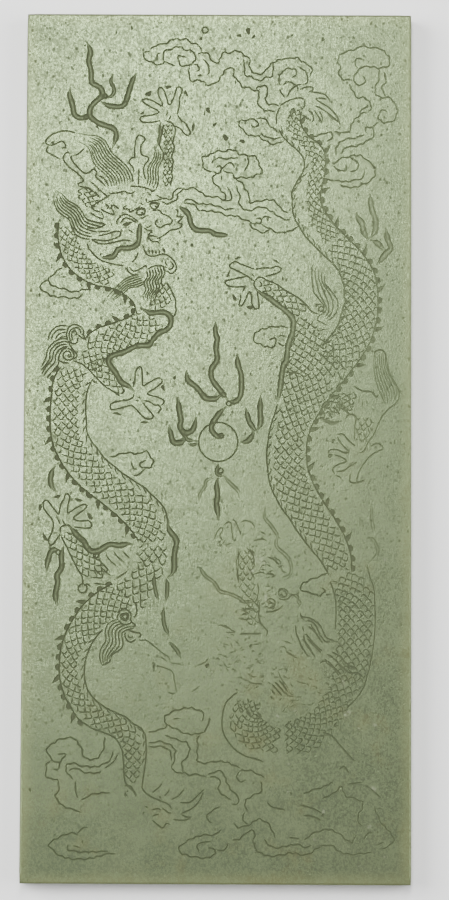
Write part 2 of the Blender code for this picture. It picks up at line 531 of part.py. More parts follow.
def build():
    """Cut the slab and leave its cutters in a collection of their own."""
    clear_scene()
    carving = bpy.data.collections.new("jade_book_cover")
    cutters = bpy.data.collections.new("cutters")
    bpy.context.scene.collection.children.link(carving)
    bpy.context.scene.collection.children.link(cutters)
    tablet = slab(carving)
    families = (
        ("line cuts", engraved_lines(), LINE_WIDTH, LINE_DEPTH, 0.0),
        ("band cuts", engraved_bands(), BAND_WIDTH, BAND_DEPTH, 0.3),
        ("fin cuts", back_fins(), FIN_WIDTH, BAND_DEPTH, 0.0),
    )
    growth = picture_unit() / DRAWN_UNIT
    for name, paths, width, depth, ends in families:
        cutter = groove_cutter(name, paths, width * growth, depth * growth, ends, cutters)
        carve = tablet.modifiers.new(name, "BOOLEAN")
        carve.operation = "DIFFERENCE"
        carve.solver = "EXACT"
        carve.use_self = True
        carve.object = cutter


build()
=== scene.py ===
"""Scene for the cover leaf of a jade book: one engraved tablet on a pale floor.

The tablet's face is one net of triangles. Its edges follow both lips and the bottom of every
cut, so that each engraved line is true geometry. The drawing is read on a sheet 128 units wide
and 288 units long, whose lower left corner is the tablet's, and is kept as shares of it.
"""

import logging
import math
from dataclasses import dataclass, field
from enum import Enum

import bpy
import numpy as np
from mathutils import Matrix, Vector
from mathutils.geometry import delaunay_2d_cdt


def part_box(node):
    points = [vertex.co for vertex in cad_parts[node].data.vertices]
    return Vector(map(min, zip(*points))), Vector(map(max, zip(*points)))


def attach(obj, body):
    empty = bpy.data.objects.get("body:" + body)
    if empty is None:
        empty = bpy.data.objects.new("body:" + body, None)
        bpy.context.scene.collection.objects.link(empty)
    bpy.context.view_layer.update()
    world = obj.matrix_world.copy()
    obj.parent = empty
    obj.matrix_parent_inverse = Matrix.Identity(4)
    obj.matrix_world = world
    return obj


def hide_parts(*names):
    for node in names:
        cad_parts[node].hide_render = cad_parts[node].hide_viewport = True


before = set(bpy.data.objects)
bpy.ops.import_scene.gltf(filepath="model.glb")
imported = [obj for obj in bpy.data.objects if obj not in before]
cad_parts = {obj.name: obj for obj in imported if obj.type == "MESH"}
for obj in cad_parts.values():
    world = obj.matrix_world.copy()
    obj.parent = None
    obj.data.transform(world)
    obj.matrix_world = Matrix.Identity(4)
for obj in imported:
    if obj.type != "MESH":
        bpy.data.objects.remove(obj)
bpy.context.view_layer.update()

LOG = logging.getLogger("jade_cover")

Path = tuple[float, ...]
Colour = tuple[float, float, float]

SHEET_WIDE = 128.0
SHEET_LONG = 288.0
FULL_DEPTH = 0.24
LEAST_GAP = 0.36
PIT_TRIES = 900
PIT_SEED = 17
MARK_SEED = 29


@dataclass(frozen=True)
class CutShape:
    """The section and the ends of one kind of cut, in units of the sheet.

    Half width and depth are those at the middle of the stroke. The floor is the share of the
    half width that is flat. Towards each end, over the taper's length, the stroke narrows to
    the tip's share of its width.
    """

    half_width: float
    depth: float
    floor: float
    tip: float
    taper: float
    gap: float


class Nib(Enum):
    """The kinds of cut that the graver leaves."""

    OUTLINE = CutShape(0.31, 0.24, 0.25, 0.4, 0.8, 0.75)
    BOLD = CutShape(0.44, 0.27, 0.4, 0.4, 0.8, 0.6)
    HAIR = CutShape(0.28, 0.20, 0.2, 0.3, 1.4, 0.8)
    SCALE = CutShape(0.27, 0.20, 0.2, 0.4, 0.8, 0.66)
    FAINT = CutShape(0.27, 0.12, 0.2, 0.3, 0.9, 0.7)
    WORN = CutShape(0.68, 0.12, 0.6, 0.3, 2.5, 1.1)
    FRINGE = CutShape(1.00, 0.34, 0.74, 0.3, 4.0, 1.1)
    FLAME = CutShape(1.00, 0.34, 0.74, 0.22, 3.0, 1.1)
    WHISKER = CutShape(0.98, 0.34, 0.74, 0.5, 2.0, 1.1)
    TONGUE = CutShape(0.68, 0.28, 0.64, 0.25, 2.0, 0.9)


def knots_of(path: Path) -> np.ndarray:
    """The points of a path, one row each."""
    return np.reshape(np.asarray(path, dtype=float), (-1, 2))


def lengths_of(curve: np.ndarray) -> np.ndarray:
    """The distance run along a curve up to each of its points."""
    return np.concatenate([[0.0], np.cumsum(np.linalg.norm(np.diff(curve, axis=0), axis=1))])


def share_out(curve: np.ndarray, count: int) -> np.ndarray:
    """The same curve with a given number of points at equal distances."""
    run = lengths_of(curve)
    even = np.linspace(0.0, run[-1], count)
    return np.column_stack([np.interp(even, run, curve[:, k]) for k in (0, 1)])


def swept(path: Path | np.ndarray) -> np.ndarray:
    """A smooth curve through all points of a path.

    Formula: between two points the curve is the cubic that passes through both, and whose slope
    at each is half the step between that point's two neighbours. A path that returns to its
    first point closes smoothly.

    Args:
        path: The points of the path.

    Returns:
        Eight points for each span, and the last point.
    """
    knots = knots_of(path) if not isinstance(path, np.ndarray) else path
    if len(knots) < 3:
        return knots
    closed = np.allclose(knots[0], knots[-1])
    before = knots[-2] if closed else knots[0]
    after = knots[1] if closed else knots[-1]
    run = np.vstack([before, knots, after])
    a, b, c, d = (run[k:len(run) - 3 + k, None, :] for k in range(4))
    t = (np.arange(8) / 8)[None, :, None]
    bend = (2 * b + (c - a) * t + (2 * a - 5 * b + 4 * c - d) * t**2
            + (3 * b - a - 3 * c + d) * t**3) / 2
    return np.vstack([bend.reshape(-1, 2), knots[-1]])


def side_of(curve: np.ndarray) -> np.ndarray:
    """Unit steps to the left of a curve's run, one for each point."""
    step = np.gradient(curve, axis=0)
    if len(curve) > 3 and np.allclose(curve[0], curve[-1]):
        step[0] = step[-1] = curve[1] - curve[-2]
    size = np.linalg.norm(step, axis=1, keepdims=True)
    step = step / np.maximum(size, 1e-9)
    return np.column_stack([-step[:, 1], step[:, 0]])


def waved(path: Path, height: float, span: float) -> np.ndarray:
    """A path with small waves, as a cloud's outline has.

    Formula: at the run s the curve goes aside by the height times sin(2 pi s / span
    + sin(0.7 s)), growing from nothing over the first and the last wave.

    Args:
        path: The points of the path.
        height: How far the waves go to each side.
        span: The length of one wave.

    Returns:
        Points about one sixth of a wave apart.
    """
    curve = swept(path)
    total = lengths_of(curve)[-1]
    if total < 2.5 * span:
        return knots_of(path)
    curve = share_out(curve, int(6 * total / span))
    run = np.linspace(0.0, total, len(curve))
    grown = np.clip(np.minimum(run, total - run) / span, 0.0, 1.0)
    wave = np.sin(2 * math.pi * run / span + np.sin(0.7 * run))
    return curve + side_of(curve) * (height * grown * wave)[:, None]


def inside_of(outline: np.ndarray, spots: np.ndarray) -> np.ndarray:
    """Which points lie inside a closed outline.

    Formula: a point is inside where a line from it to the right crosses the outline an odd
    number of times.

    Args:
        outline: The outline, its last point equal to its first.
        spots: The points.

    Returns:
        True for each point inside.
    """
    start, end = outline[:-1], outline[1:]
    x, y = spots[:, :1], spots[:, 1:]
    spans = (start[:, 1] > y) != (end[:, 1] > y)
    rise = end[:, 1] - start[:, 1]
    rise = np.where(np.abs(rise) < 1e-12, 1e-12, rise)
    meet = start[:, 0] + (y - start[:, 1]) * (end[:, 0] - start[:, 0]) / rise
    return (spans & (meet > x)).sum(axis=1) % 2 == 1


def gaps_to(start: np.ndarray, end: np.ndarray, spots: np.ndarray
            ) -> tuple[np.ndarray, np.ndarray]:
    """How far points lie from straight runs, and where on each run the nearest place is.

    Args:
        start: Where each run begins.
        end: Where it ends.
        spots: The points.

    Returns:
        The distances, one row for each point, and the shares of each run.
    """
    run = end - start
    size = np.maximum((run**2).sum(axis=1), 1e-12)
    away = spots[:, None, :] - start[None, :, :]
    share = np.clip((away * run).sum(axis=2) / size, 0.0, 1.0)
    return np.linalg.norm(away - share[:, :, None] * run, axis=2), share


@dataclass
class Stroke:
    """One cut along a centre line, with its half width at each point."""

    centre: np.ndarray
    half: np.ndarray
    shape: CutShape

    @classmethod
    def drawn(cls, curve: np.ndarray, shape: CutShape) -> "Stroke":
        """A stroke along a curve, tapered at open ends and a little uneven, as by hand.

        Formula: the half width grows from the tip's share to the whole as the smooth step of
        the distance from the nearer end over the taper, times one plus a small slow wave.
        Points lie a gap apart: the cut's own, or less on a short stroke.

        Args:
            curve: The smooth curve.
            shape: The kind of cut.

        Returns:
            The stroke.
        """
        total = lengths_of(curve)[-1]
        gap = min(shape.gap, max(total / 8, LEAST_GAP))
        count = max(int(math.ceil(total / gap)) + 1, 3)
        centre = share_out(curve, count)
        run = np.linspace(0.0, total, count)
        if np.allclose(curve[0], curve[-1]):
            swell = np.ones(count)
        else:
            near = np.minimum(run, total - run) / min(shape.taper, total / 2)
            near = np.clip(near, 0.0, 1.0)
            swell = shape.tip + (1 - shape.tip) * near**2 * (3 - 2 * near)
        phase = curve[0, 0] * 1.3 + curve[0, 1] * 0.7
        hand = 1.0 + 0.07 * np.sin(1.9 * run + phase) + 0.05 * np.sin(0.8 * run + 2 * phase)
        return cls(centre, shape.half_width * swell * hand, shape)

    def rails(self) -> list[np.ndarray]:
        """Both lips, the bottom line, and both borders of a wide flat bottom."""
        side = side_of(self.centre) * self.half[:, None]
        shares = (-1.0, 0.0, 1.0) if self.shape.floor < 0.5 else (
            -1.0, -self.shape.floor, 0.0, self.shape.floor, 1.0)
        rails = [self.centre + side * share for share in shares]
        if np.allclose(self.centre[0], self.centre[-1]):
            return rails
        tip = (self.centre[1] - self.centre[0], self.centre[-1] - self.centre[-2])
        reach = [step / max(np.linalg.norm(step), 1e-9) for step in tip]
        start = self.centre[0] - reach[0] * self.half[0]
        end = self.centre[-1] + reach[1] * self.half[-1]
        return [np.vstack([start, rail, end]) for rail in (rails[0], rails[-1])] + rails[1:-1]

    def reach(self) -> tuple[np.ndarray, np.ndarray]:
        """The corners of the box that holds the whole cut."""
        wide = float(self.half.max()) + 0.01
        return self.centre.min(axis=0) - wide, self.centre.max(axis=0) + wide

    def depth_at(self, spots: np.ndarray) -> tuple[np.ndarray, np.ndarray]:
        """How deep this cut lies under given points, and how dirty it is there.

        Formula: the distance to the nearest run of the centre line, over the half width there,
        falls from the full depth at the floor's share to nothing at the lip, in a straight
        slope. A narrow tip is shallower, in proportion. Dirt is the depth's share of a full
        cut. In a cut with a wide flat bottom it is 1.5 times that, at most 1, times 0.16 plus
        0.3 of the way from the middle to the side of the bottom: the middle is rubbed clean.

        Args:
            spots: Points of the sheet, one row each.

        Returns:
            One depth and one share of dirt for each point.
        """
        gap, share = gaps_to(self.centre[:-1], self.centre[1:], spots)
        half = self.half[:-1] + share * (self.half[1:] - self.half[:-1])
        slope = np.clip((1 - gap / half) / (1 - self.shape.floor), 0.0, 1.0)
        shallow = np.minimum(half / self.shape.half_width, 1.0)
        depth = (slope * shallow).max(axis=1) * self.shape.depth
        dirt = np.minimum(depth / FULL_DEPTH, 1.0)
        if self.shape.floor >= 0.5:
            inner = (gap / (half * self.shape.floor)).min(axis=1)
            dirt = np.minimum(1.5 * dirt, 1.0) * (0.16 + 0.3 * np.clip(inner, 0.0, 1.0))
        return depth, dirt


@dataclass
class Hollow:
    """A small cut-away field inside a closed outline."""

    outline: np.ndarray
    depth: float = 0.28
    wall: float = 0.22

    def rails(self) -> list[np.ndarray]:
        """The lip, and the same outline drawn in towards its middle."""
        middle = self.outline[:-1].mean(axis=0)
        away = np.linalg.norm(self.outline - middle, axis=1, keepdims=True)
        inner = middle + (self.outline - middle) * np.clip(1 - self.wall / away, 0.25, 1.0)
        return [self.outline, inner]

    def reach(self) -> tuple[np.ndarray, np.ndarray]:
        """The corners of the box that holds the whole cut."""
        return self.outline.min(axis=0), self.outline.max(axis=0)

    def depth_at(self, spots: np.ndarray) -> tuple[np.ndarray, np.ndarray]:
        """How deep the hollow lies under given points, and how dirty it is there.

        Formula: inside, the depth grows with the distance to the outline until the wall's
        width, and stays the same beyond it. Dirt is 0.6 of the depth's share of a full cut.

        Args:
            spots: Points of the sheet, one row each.

        Returns:
            One depth and one share of dirt for each point.
        """
        gap = gaps_to(self.outline[:-1], self.outline[1:], spots)[0].min(axis=1)
        within = inside_of(self.outline, spots)
        depth = np.where(within, np.clip(gap / self.wall, 0.0, 1.0), 0.0) * self.depth
        return depth, 0.6 * np.minimum(depth / FULL_DEPTH, 1.0)


@dataclass
class Patch:
    """A pale patch in the stone: colour only, with its own round lines in the net."""

    x: float
    y: float
    radius: float
    phase: float = 0.0

    def reach_at(self, turn: np.ndarray) -> np.ndarray:
        """How far the patch goes in each direction.

        Formula: the radius times one plus two small waves round the middle.
        """
        return self.radius * (1 + 0.28 * np.sin(2 * turn + self.phase)
                              + 0.16 * np.sin(3 * turn + 2 * self.phase))

    def rails(self) -> list[np.ndarray]:
        """The patch's border, and the same at half its size."""
        turn = np.linspace(0.0, 2 * math.pi, 11)
        reach = self.reach_at(turn)
        reach[-1] = reach[0]
        ring = np.column_stack([np.cos(turn) * reach, np.sin(turn) * reach])
        return [np.array([self.x, self.y]) + ring * share for share in (1.0, 0.5)]

    def strength_at(self, spots: np.ndarray) -> np.ndarray:
        """How strong the patch is at given points, from nought at its border to one inside.

        Args:
            spots: Points of the sheet.

        Returns:
            One share for each point.
        """
        away = spots - np.array([self.x, self.y])
        gap = np.linalg.norm(away, axis=1)
        reach = self.reach_at(np.arctan2(away[:, 1], away[:, 0]))
        return np.clip((1.02 - gap / reach) * 2.0, 0.0, 1.0)


@dataclass
class Graver:
    """Collects every cut of the drawing."""

    cuts: list[Stroke | Hollow] = field(default_factory=list)
    patches: list[Patch] = field(default_factory=list)

    def line(self, path: Path | np.ndarray, nib: Nib = Nib.OUTLINE) -> None:
        """Cut one smooth line through the points of a path."""
        self.cuts.append(Stroke.drawn(swept(path), nib.value))

    def lines(self, paths: tuple[Path, ...], nib: Nib = Nib.OUTLINE) -> None:
        """Cut a family of lines with one nib."""
        for path in paths:
            self.line(path, nib)

    def hollows(self, outlines: tuple[Path, ...]) -> None:
        """Cut away the inside of closed outlines, such as claws and eyes."""
        for outline in outlines:
            closed = np.vstack([knots_of(outline), knots_of(outline)[:1]])
            curve = swept(closed)
            count = max(int(lengths_of(curve)[-1] / 0.5), 8)
            self.cuts.append(Hollow(share_out(curve, count)))

    def ring(self, x: float, y: float, radius: float, nib: Nib = Nib.OUTLINE) -> None:
        """Cut a round line."""
        turn = np.linspace(0.0, 2 * math.pi, max(int(radius * 9), 9))
        self.cuts.append(Stroke.drawn(
            np.column_stack([x + radius * np.cos(turn), y + radius * np.sin(turn)]), nib.value))

    def locks(self, first: Path, last: Path, count: int, nib: Nib = Nib.HAIR) -> None:
        """Cut a lock of hair between two borders.

        Formula: strand number k of n is the first border plus k / (n - 1) of the step to the
        last one, point by point, each border being shared out evenly. A strand's half width is
        at most 0.36 of the room between two strands, or 0.12 where that is more. An inner
        strand is cut only where the room is over 0.44, and every second one where it is over
        0.58.

        Args:
            first: The lock's border on one side.
            last: Its border on the other side, running the same way.
            count: The number of strands, the borders among them.
            nib: The kind of cut.
        """
        a = share_out(swept(first), 40)
        b = share_out(swept(last), 40)
        room = np.linalg.norm(b - a, axis=1) / (count - 1)
        for strand in range(count):
            share = strand / (count - 1)
            curve = a + (b - a) * share
            if 0 < strand < count - 1:
                wanted = 0.58 if strand % 2 else 0.44
                free = np.flatnonzero(room > wanted)
                if len(free) < 6:
                    continue
                curve = curve[free[0]:free[-1] + 1]
                width = room[free[0]:free[-1] + 1]
            else:
                width = room
            stroke = Stroke.drawn(swept(curve[::3]), nib.value)
            place = np.linspace(0.0, len(width) - 1.0, len(stroke.half))
            stroke.half = np.minimum(stroke.half, np.maximum(
                0.36 * np.interp(place, np.arange(len(width)), width), 0.12))
            self.cuts.append(stroke)

    def fins(self, edge: Path | np.ndarray, spacing: float = 3.3, start: float = 1.5) -> None:
        """Cut the fins in a row on the right hand of a back's run.

        Formula: for angles from nought to pi, a bump lies at -1.15 times the cosine along the
        edge and rises by 0.22 plus 1.2 times the sine to the power 0.8. Each fourth fin is a
        spike instead: it leans forward along the run and comes to a point.

        Args:
            edge: The back's edge.
            spacing: The distance from fin to fin.
            start: Where the first fin stands.
        """
        curve = swept(edge)
        total = lengths_of(curve)[-1]
        fine = share_out(curve, max(int(total / 0.2), 8))
        side = -side_of(fine)
        along = np.column_stack([side[:, 1], -side[:, 0]]) * -1.0
        places = np.arange(start, total - 1.0, spacing)
        turn = np.linspace(0.0, math.pi, 8)
        for number, place in enumerate(places):
            at = min(int(place / total * (len(fine) - 1)), len(fine) - 1)
            spot, out, ahead = fine[at], side[at], along[at]
            if number % 4 == 3:
                across = np.array([-0.9, -0.5, 0.4, 1.9, 1.3, 0.9])
                rise = np.array([0.25, 1.1, 1.9, 2.9, 1.3, 0.25])
            else:
                across = -1.15 * np.cos(turn)
                rise = 0.22 + 1.2 * np.sin(turn) ** 0.8
            shape = spot + across[:, None] * ahead + rise[:, None] * out
            self.cuts.append(Hollow(np.vstack([shape, shape[:1]]), 0.3, 0.2))

    def scales(self, left: Path, right: Path, wide: float, pitch: float,
               nib: Nib = Nib.SCALE) -> None:
        """Cut a net of overlapping scales in the field between two borders.

        Formula: the spine lies midway between the borders, which run the same way. A scale is
        a slightly pointed arc across the spine: at the share u of its width it reaches ahead
        by 0.95 times the pitch times 0.7 sin(pi v) + 0.3 (1 - |2 v - 1|), where v is u to
        the power 1.2, so that one flank is the longer. An arc runs from 0.04 to 0.96 of its
        width. Every second row stands half a scale to the side, and the arcs are cut off 0.35
        beyond the borders.

        Args:
            left: The border on the left of the run.
            right: The border on the right.
            wide: The width of a scale.
            pitch: The distance from row to row.
            nib: The kind of cut.
        """
        a = share_out(swept(left), 160)
        b = share_out(swept(right), 160)
        a, b = a + 0.35 * side_of(a), b - 0.35 * side_of(b)
        field_edge = np.vstack([a, b[::-1], a[:1]])
        spine = (a + b) / 2
        run = lengths_of(spine)
        side = side_of(spine)
        broad = np.linalg.norm(a - b, axis=1).max() / 2
        columns = int(broad / wide) + 2
        u = np.linspace(0.04, 0.96, 9)
        v = u**1.2
        ahead = pitch * 0.95 * (0.7 * np.sin(math.pi * v) + 0.3 * (1 - np.abs(2 * v - 1)))
        for row in range(-1, int(run[-1] / pitch) + 1):
            for column in range(-columns, columns + 1):
                shift = 0.5 if row % 2 else 0.0
                drift = 0.17 * math.sin(row * 2.3 + column * 1.7)
                across = (column + shift + u - 0.5) * wide + drift
                along = row * pitch + ahead + drift
                spot = np.column_stack([
                    np.interp(along, run, spine[:, k])
                    + across * np.interp(along, run, side[:, k]) for k in (0, 1)])
                held = inside_of(field_edge, spot) & (along > 0.0) & (along < run[-1])
                kept = np.flatnonzero(held)
                if len(kept) >= 4 and kept[-1] - kept[0] == len(kept) - 1:
                    self.line(spot[kept], nib)

    def plates(self, edge: Path | np.ndarray, spacing: float, reach: float, lean: float
               ) -> None:
        """Cut the belly plates' ends: short hooks on the right hand of a belly's run.

        Formula: each hook starts on the edge and runs into the body while it goes ahead by the
        lean, bending forward as the square of its place.

        Args:
            edge: The belly's edge.
            spacing: The distance from hook to hook.
            reach: How far a hook goes into the body.
            lean: How far it goes ahead.
        """
        curve = swept(edge)
        total = lengths_of(curve)[-1]
        fine = share_out(curve, max(int(total / 0.25), 8))
        side = -side_of(fine)
        ahead = np.column_stack([-side[:, 1], side[:, 0]])
        share = np.linspace(0.0, 1.0, 5)[:, None]
        for place in np.arange(spacing * 0.6, total - spacing * 0.4, spacing):
            at = min(int(place / total * (len(fine) - 1)), len(fine) - 1)
            self.line(fine[at] + side[at] * reach * share + ahead[at] * lean * share**2,
                      Nib.SCALE)


# The rising dragon: crest, horns, mane and raised paw
RISING_CREST = (
    (28.9, 243.3, 29.9, 247, 28.8, 249.4, 24.5, 250.9, 21.3, 253.2, 21, 255.5, 22.2, 257.6, 24.8, 260, 25.3,
    261.7, 24, 263.4, 21.6, 264.8, 21.3, 269, 20.5, 272, 21.1, 275.2, 19.8, 278.4), (20.8, 253.4, 19, 252.9,
    17, 253, 15.9, 254.1, 15.4, 256.4, 14.9, 258.5, 14.2, 260.7, 14.5, 263), (24.8, 258.4, 26.5, 257.3, 29.5,
    256.6, 32.2, 257.1, 33.4, 259.6, 34.6, 263.9, 36.3, 268),
)
RISING_CREST_SMALL = ((26, 259.6, 27.8, 260, 29.1, 261.6, 28.7, 263.6, 27.9, 265.2, 28.7, 267.6),)
RISING_MANE_TOP = (
    (16.5, 247.7, 14.5, 248.3, 11.8, 248.4, 8.8, 247.3, 6.8, 245.6, 6.7, 244, 9, 243.7, 12, 245, 13.2, 242.9,
    11.5, 242.7), (7.4, 243.6, 6.7, 241.6, 8.6, 240.4, 11.3, 239), (19.3, 242.6, 17.3, 240.7, 15.6, 240.2),
    (23, 233, 24.5, 231.9, 26.5, 229.9), (24, 233.4, 26, 232.5, 27.5, 230),
)
RISING_HORNS = (
    (14.6, 240.8, 13.6, 241.3, 12.3, 239.5, 13.8, 236.8, 17.5, 233.8, 19.2, 231.6, 17.4, 230.9, 17.6, 230.1),
    (15.3, 240.2, 14.9, 239.3, 16.5, 237, 19.3, 234.3, 21.2, 234.6, 22.4, 235.8, 23.7, 234.3, 23.1, 233.5,
    24.3, 231.8), (21.5, 231.5, 24.5, 228.7, 27.3, 226.3), (19.3, 229.8, 20.8, 229.3, 22.5, 228, 24.8, 226),
    (36.1, 239.2, 36.1, 243.5, 36.8, 246.5, 38, 247.1, 39.5, 245.7, 38.2, 243.9, 38.1, 242, 38.3, 240.6,
    40.3, 239.8, 40.8, 238.9, 39.4, 237.1, 39, 235, 39.8, 232.3), (36.1, 239.4, 35.2, 239.6, 34.2, 238, 35.7,
    236, 35.6, 234.5), (37.5, 236, 37.4, 230.3),
)
RISING_ARM = (
    (46, 252, 48.3, 251.3, 49.2, 250, 49.5, 248.3, 48.7, 244.8, 49.2, 243, 48.4, 239.8, 48.9, 238.2, 48.4,
    234.8, 48.6, 233, 47.9, 229.9), (45.4, 251, 45.3, 248.5, 44.3, 244, 45.7, 240.8, 45.3, 238.5),
)
RISING_TOP_PAW = (
    (44.5, 252.1, 41.5, 251.4, 38.2, 251.7, 38, 253.2, 41.3, 253.8, 44.2, 254.9, 41.5, 256.5, 38.6, 258.3,
    38.6, 259.2, 41.2, 259, 45.2, 256.9, 44.9, 258.2, 43.7, 261.3, 44.2, 263.3, 45.5, 262.4, 46.6, 259.5,
    47.4, 257.2, 48.6, 259, 49.7, 262.4, 50.3, 263.5, 51.8, 262.4, 50.8, 259.5, 50.9, 258, 50.1, 254), (50.1,
    254, 51.8, 251.7, 52.6, 251.4, 54.5, 248.2, 54, 247.2, 52.9, 247.3, 51.2, 249.3, 49.3, 250.3), (46.4,
    253.6, 47, 255), (47.2, 252.2, 48.1, 253.6),
)
RISING_TOP_CLAWS = (
    (39.3, 260.9, 41.6, 262.2, 40.9, 260.1), (46, 263.8, 48.4, 263.6, 46.5, 262.6), (52.6, 262.4, 52.3,
    261.2, 53.8, 260, 53.4, 261.4), (55.7, 251.6, 54.8, 249.6, 55.2, 248.4, 56, 250), (38.9, 255.3, 37.5,
    254.1, 39, 254.3),
)
RISING_LOCK_ENDS = (
    (20.3, 218.8, 23, 218, 26, 217.4, 26.3, 216.9, 24, 215.9, 20.5, 215.9), (23.5, 214.6, 26.5, 214.8, 28.2,
    215.2), (24, 213.2, 27, 213.9, 30.6, 214.9, 31.7, 213.6, 28.5, 212, 26, 211.7, 21.8, 212.2), (21.8,
    212.1, 24, 210.9, 26.5, 210.6, 30.5, 211.4, 33, 211.9, 35.3, 211.5), (17.5, 230, 21, 229, 22.3, 228),
    (20.6, 211, 21.2, 209, 24.4, 205.6, 29, 203.9, 33, 203.4),
)

# The rising dragon's face
RISING_BROW = (
    (28, 227.4, 30.8, 227.8, 32.5, 228.2, 34.7, 227.5, 36.4, 228.4), (34.4, 230, 38.5, 229.7, 41.2, 228.9,
    42.2, 228.1, 43.5, 229.5), (21.6, 223, 24, 224.5, 27, 226.3, 28, 227), (21.6, 223, 22.5, 222, 25, 221.2),
    (24.9, 222.6, 26, 221.6, 29.5, 220.4, 28.4, 222.8, 29, 223.7, 31.1, 222.3), (26.2, 224.2, 27.5, 223.2,
    27, 222.3), (21.3, 221.2, 23.8, 219.6, 25.9, 219, 25.1, 221.4), (33.8, 223.6, 32.1, 222.4, 34.5, 222.2,
    34.2, 220.9), (34.3, 221.1, 36.5, 222.2, 38.2, 223.4), (37.5, 224.5, 39.2, 223.7), (37.8, 219.2, 39,
    219.4, 40.4, 220.4), (40, 224.5, 42.3, 225.1, 45.2, 225.6), (39.9, 226.2, 40, 225.2, 40.1, 224.5), (41,
    227.6, 41.6, 226.7),
)
RISING_EYES = (
    (36.7, 221.1, 38.3, 222.8, 39.6, 222, 39.3, 220.5, 37.6, 220.4, 36.7, 221.1), (41.2, 224, 41.7, 222.7,
    42.9, 222.3, 44.1, 223.4, 43.6, 224.4, 42.2, 224.5, 41.2, 224),
)
RISING_MUZZLE = (
    (42, 221.8, 44.6, 221.9, 45.2, 220.8, 47.2, 220.1, 48.7, 218.5, 48.3, 217.5, 46.4, 217.1, 44.5, 216.1,
    43, 217.6, 44, 219.2), (30.7, 217, 30.3, 218.3, 32.3, 220.4, 34.3, 220.2, 37.6, 218), (31.5, 217.5, 32.8,
    219.2, 34.4, 219.1, 37.3, 217.5), (34, 215.6, 35.8, 214.3), (50, 222.4, 50.6, 221.3, 50.2, 219.7, 52.3,
    219.9, 51, 218.4, 50.4, 217.8, 52.1, 217.1, 50.8, 215.8, 48.2, 215.3, 46, 213.6, 43.7, 212.4), (51,
    215.1, 51.4, 214.2), (39.7, 215.9, 41.8, 216.8), (39.4, 216.2, 40, 215.4, 42.2, 214.9, 40.6, 213.6, 43.3,
    213.2), (40.9, 212.9, 42, 211.5, 44.2, 211.4, 44.3, 210.1), (38.9, 210.3, 40, 207.6, 41.2, 206.7, 43,
    206.6, 45.5, 207.3, 47.5, 206.7, 49.3, 205, 50.2, 202.6, 48.7, 200.8, 46.7, 201.8), (48, 204.9, 49.3,
    203.2, 48, 202.1, 47.4, 202.6), (46.8, 205.2, 46.6, 204.2, 47.2, 203.4), (37.2, 203.8, 36.3, 204.1),
    (33.9, 203.2, 33.9, 201.8, 36, 200.3, 37.2, 200.8), (34.6, 202.9, 36, 201.5, 38.5, 202.5, 40.1, 203.6,
    40.2, 202.6), (37.6, 208, 36.5, 205.6, 35.3, 204.5), (40.5, 202.1, 42.5, 203.2, 45, 203.4, 47, 202.8),
)
RISING_TEETH = (
    (41.0, 209.0, 41.2, 207.5), (42.2, 208.7, 42.3, 207.3), (43.3, 208.7, 43.4, 207.3), (44.3, 208.8, 44.5,
    207.4), (45.6, 209.6, 46.4, 207.8),
)
RISING_WHISKERS = (
    (38, 217.3, 37.8, 215, 37.7, 212.5, 37.3, 210.8, 35.8, 209.6, 33.5, 209.2, 31, 209.1, 29.3, 206.5, 25.8,
    206.1), (51.3, 223, 53.8, 221, 54.5, 219, 55, 217, 56.3, 215.6, 58, 215.2, 61.3, 215.1, 63, 214, 67,
    213.7),
)

# The rising dragon's back and belly, section by section from neck to tail
RISING_NECK_BACK = (
    11, 218, 10.8, 214, 11.2, 210.3, 12.3, 206.4, 14.3, 202.9, 17.3, 200, 20.6, 198, 24, 196.7, 27.6, 196,
    31, 195, 34, 193, 36, 191, 36.6, 188.7, 35.5, 186.8, 33, 185.5, 30, 184.4, 27, 183.5, 24.5, 182.5, 22.3,
    181.2, 20.5, 179.3,
)
RISING_NECK_BELLY = (46.6, 198, 48.2, 195.8, 49.5, 193, 50, 191.5, 49.9, 190, 50.2, 188.5, 49.4, 186.3)
RISING_BODY_BACK = (
    12.3, 169.5, 11, 168, 9.7, 164.5, 9.2, 160, 8.8, 155, 8.9, 149, 9.8, 144, 11.5, 140, 13.8, 136, 17, 132,
    20.5, 128.8, 24.5, 125.8, 28.3, 122.8, 31.8, 119.8, 35, 116.6, 37.6, 113.2, 38.2, 112,
)
RISING_BODY_BELLY = (
    23, 165.8, 21.6, 163.2, 20.7, 159.9, 20.5, 156, 20.7, 152, 21, 148, 22.3, 145.2, 24.4, 142.6, 27, 139.2,
    30, 136.8, 32.2, 134.8, 35, 133, 37.5, 131.3, 40, 129.8, 42.2, 127.6, 44.8, 125.2, 47, 122.2, 47.8,
    118.5,
)
RISING_TAIL_BACK = (
    30, 98, 27.5, 96.8, 25, 95.3, 22.8, 93.6, 20.8, 91.6, 19, 89.5, 17.6, 87.3, 16.2, 85, 15, 82.6, 14, 80,
    13.2, 77.5, 12.6, 72.5, 12.7, 67.5, 13.9, 62.5, 16.3, 57.8, 19, 53.7, 21.3, 52, 24, 50.4, 28.5, 48.8,
    31.2, 47.4, 32, 46.2, 33.5, 43, 34, 38, 34.5, 33, 37.5, 30, 38, 28.5,
)
RISING_TAIL_BELLY = (
    26.8, 83, 24.8, 80.8, 23, 78, 21.8, 75, 21, 72, 20.8, 68.7, 21.2, 65.3, 22.5, 62.2, 24.9, 59.4, 28, 57.3,
    31.6, 55.6, 34.6, 54.2, 36.8, 52.2, 39.2, 51, 40.8, 48.5, 41.3, 43.5, 41, 39, 40.3, 34, 40.1, 31, 42.2,
    28.9, 45, 27.5, 48.2, 26.2, 49.8, 24.6,
)
